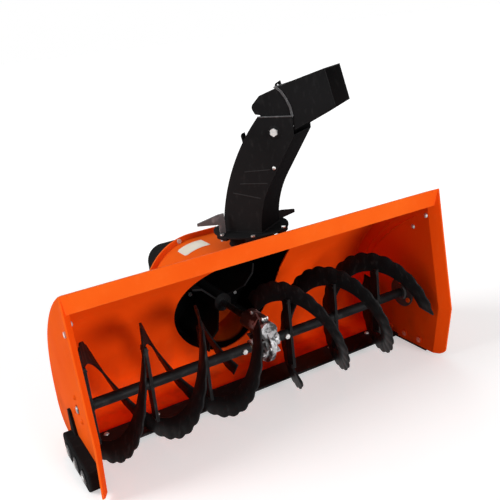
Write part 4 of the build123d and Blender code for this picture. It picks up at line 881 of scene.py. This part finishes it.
def skid_washers():
    """Thick washers round the skid bolts' heads."""
    height = middle_of("skid_bolts").z
    for side, word in SIDES:
        low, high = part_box(f"{word}_skid_shoe")
        face = low[0] if side < 0 else high[0]
        skins = [turned(Vector((face, y, height)), ACROSS * side, SKID_WASHER, WASHER_SIDES)
                 for y in SKID_BOLT_PLACES]
        # The washers are in a lighter black that paints a highlight on them
        piece(f"{word}_skid_washers", skins, "black_paint", "housing", finish=highlight_black)


def seen_rays(tree):
    """Mask of the rays that show a background: seen by the camera, mirrored, or through something clear."""
    paths = tree.nodes.new("ShaderNodeLightPath")
    mask = paths.outputs["Is Camera Ray"]
    for kind in ("Is Glossy Ray", "Is Transmission Ray"):
        either = tree.nodes.new("ShaderNodeMath")
        either.operation = "MAXIMUM"
        tree.links.new(mask, either.inputs[0])
        tree.links.new(paths.outputs[kind], either.inputs[1])
        mask = either.outputs[0]
    return mask


def studio_floor():
    """Plain pale floor that glows a little where it is seen, so that it reads as white."""
    mesh = bpy.data.meshes.new("studio_floor")
    corners = [(u * FLOOR_REACH, v * FLOOR_REACH, 0.0) for u, v in ((-1, -1), (1, -1), (1, 1), (-1, 1))]
    mesh.from_pydata(corners, [], [(0, 1, 2, 3)])
    floor = bpy.data.objects.new("studio_floor", mesh)
    bpy.context.scene.collection.objects.link(floor)
    shader = Shader("studio_floor", Roughness=0.9, Specular_IOR_Level=0.1, Emission_Color=WHITE)
    shaded = tuple(FLOOR_SHADE * level for level in FLOOR)
    tone = shader.blend(shader.patches(*FLOOR_MOTTLE), FLOOR, shaded)
    glow = shader.calc("MULTIPLY", seen_rays(shader.tree), FLOOR_GLOW)
    shader.feed(shader.surface, Base_Color=tone, Emission_Strength=glow)
    mesh.materials.append(shader.material)


def studio_light():
    """White surround that lights less than it shows, and soft lamps from three sides."""
    world = bpy.data.worlds.new("studio")
    bpy.context.scene.world = world
    world.use_nodes = True
    tree = world.node_tree
    background = tree.nodes["Background"]
    background.inputs["Color"].default_value = WHITE
    level = tree.nodes.new("ShaderNodeMapRange")
    level.inputs["To Min"].default_value = SKY_LEVEL
    level.inputs["To Max"].default_value = 1.0
    tree.links.new(seen_rays(tree), level.inputs["Value"])
    tree.links.new(level.outputs[0], background.inputs["Strength"])
    for name, heading, strength, spread in LAMPS:
        lamp = bpy.data.lights.new(name, "SUN")
        lamp.energy = strength
        lamp.angle = radians(spread)
        holder = bpy.data.objects.new(name, lamp)
        holder.rotation_euler = Vector(heading).to_track_quat("-Z", "Y").to_euler()
        bpy.context.scene.collection.objects.link(holder)


def photo_camera():
    """Camera at the photograph's place, tilted as it was."""
    azimuth, elevation, roll = (radians(a) for a in (CAMERA_AZIMUTH, CAMERA_ELEVATION, CAMERA_ROLL))
    ahead = Vector((-sin(azimuth) * cos(elevation), cos(azimuth) * cos(elevation), -sin(elevation)))
    level_right = Vector((cos(azimuth), sin(azimuth), 0.0))
    level_up = level_right.cross(ahead)
    right = level_right * cos(roll) - level_up * sin(roll)
    up = right.cross(ahead)
    data = bpy.data.cameras.new("photo_camera")
    data.sensor_width = SENSOR_WIDTH
    data.lens = FOCAL_PIXELS / IMAGE_PIXELS * SENSOR_WIDTH
    camera = bpy.data.objects.new("photo_camera", data)
    turn = Matrix((right, up, -ahead)).transposed().to_4x4()
    camera.matrix_world = Matrix.Translation(CAMERA_PLACE) @ turn
    bpy.context.scene.collection.objects.link(camera)
    bpy.context.scene.camera = camera


for side, word in SIDES:
    for index in (1, 2):
        serrated_ribbon(side, word, index)
for _, word in SIDES:
    auger_welds(word)
housing_welds()
panel_seams()
drum_label()
chute_details()
hood_strap()
skid_washers()
studio_floor()
studio_light()
photo_camera()
bpy.context.scene.view_settings.view_transform = "Standard"
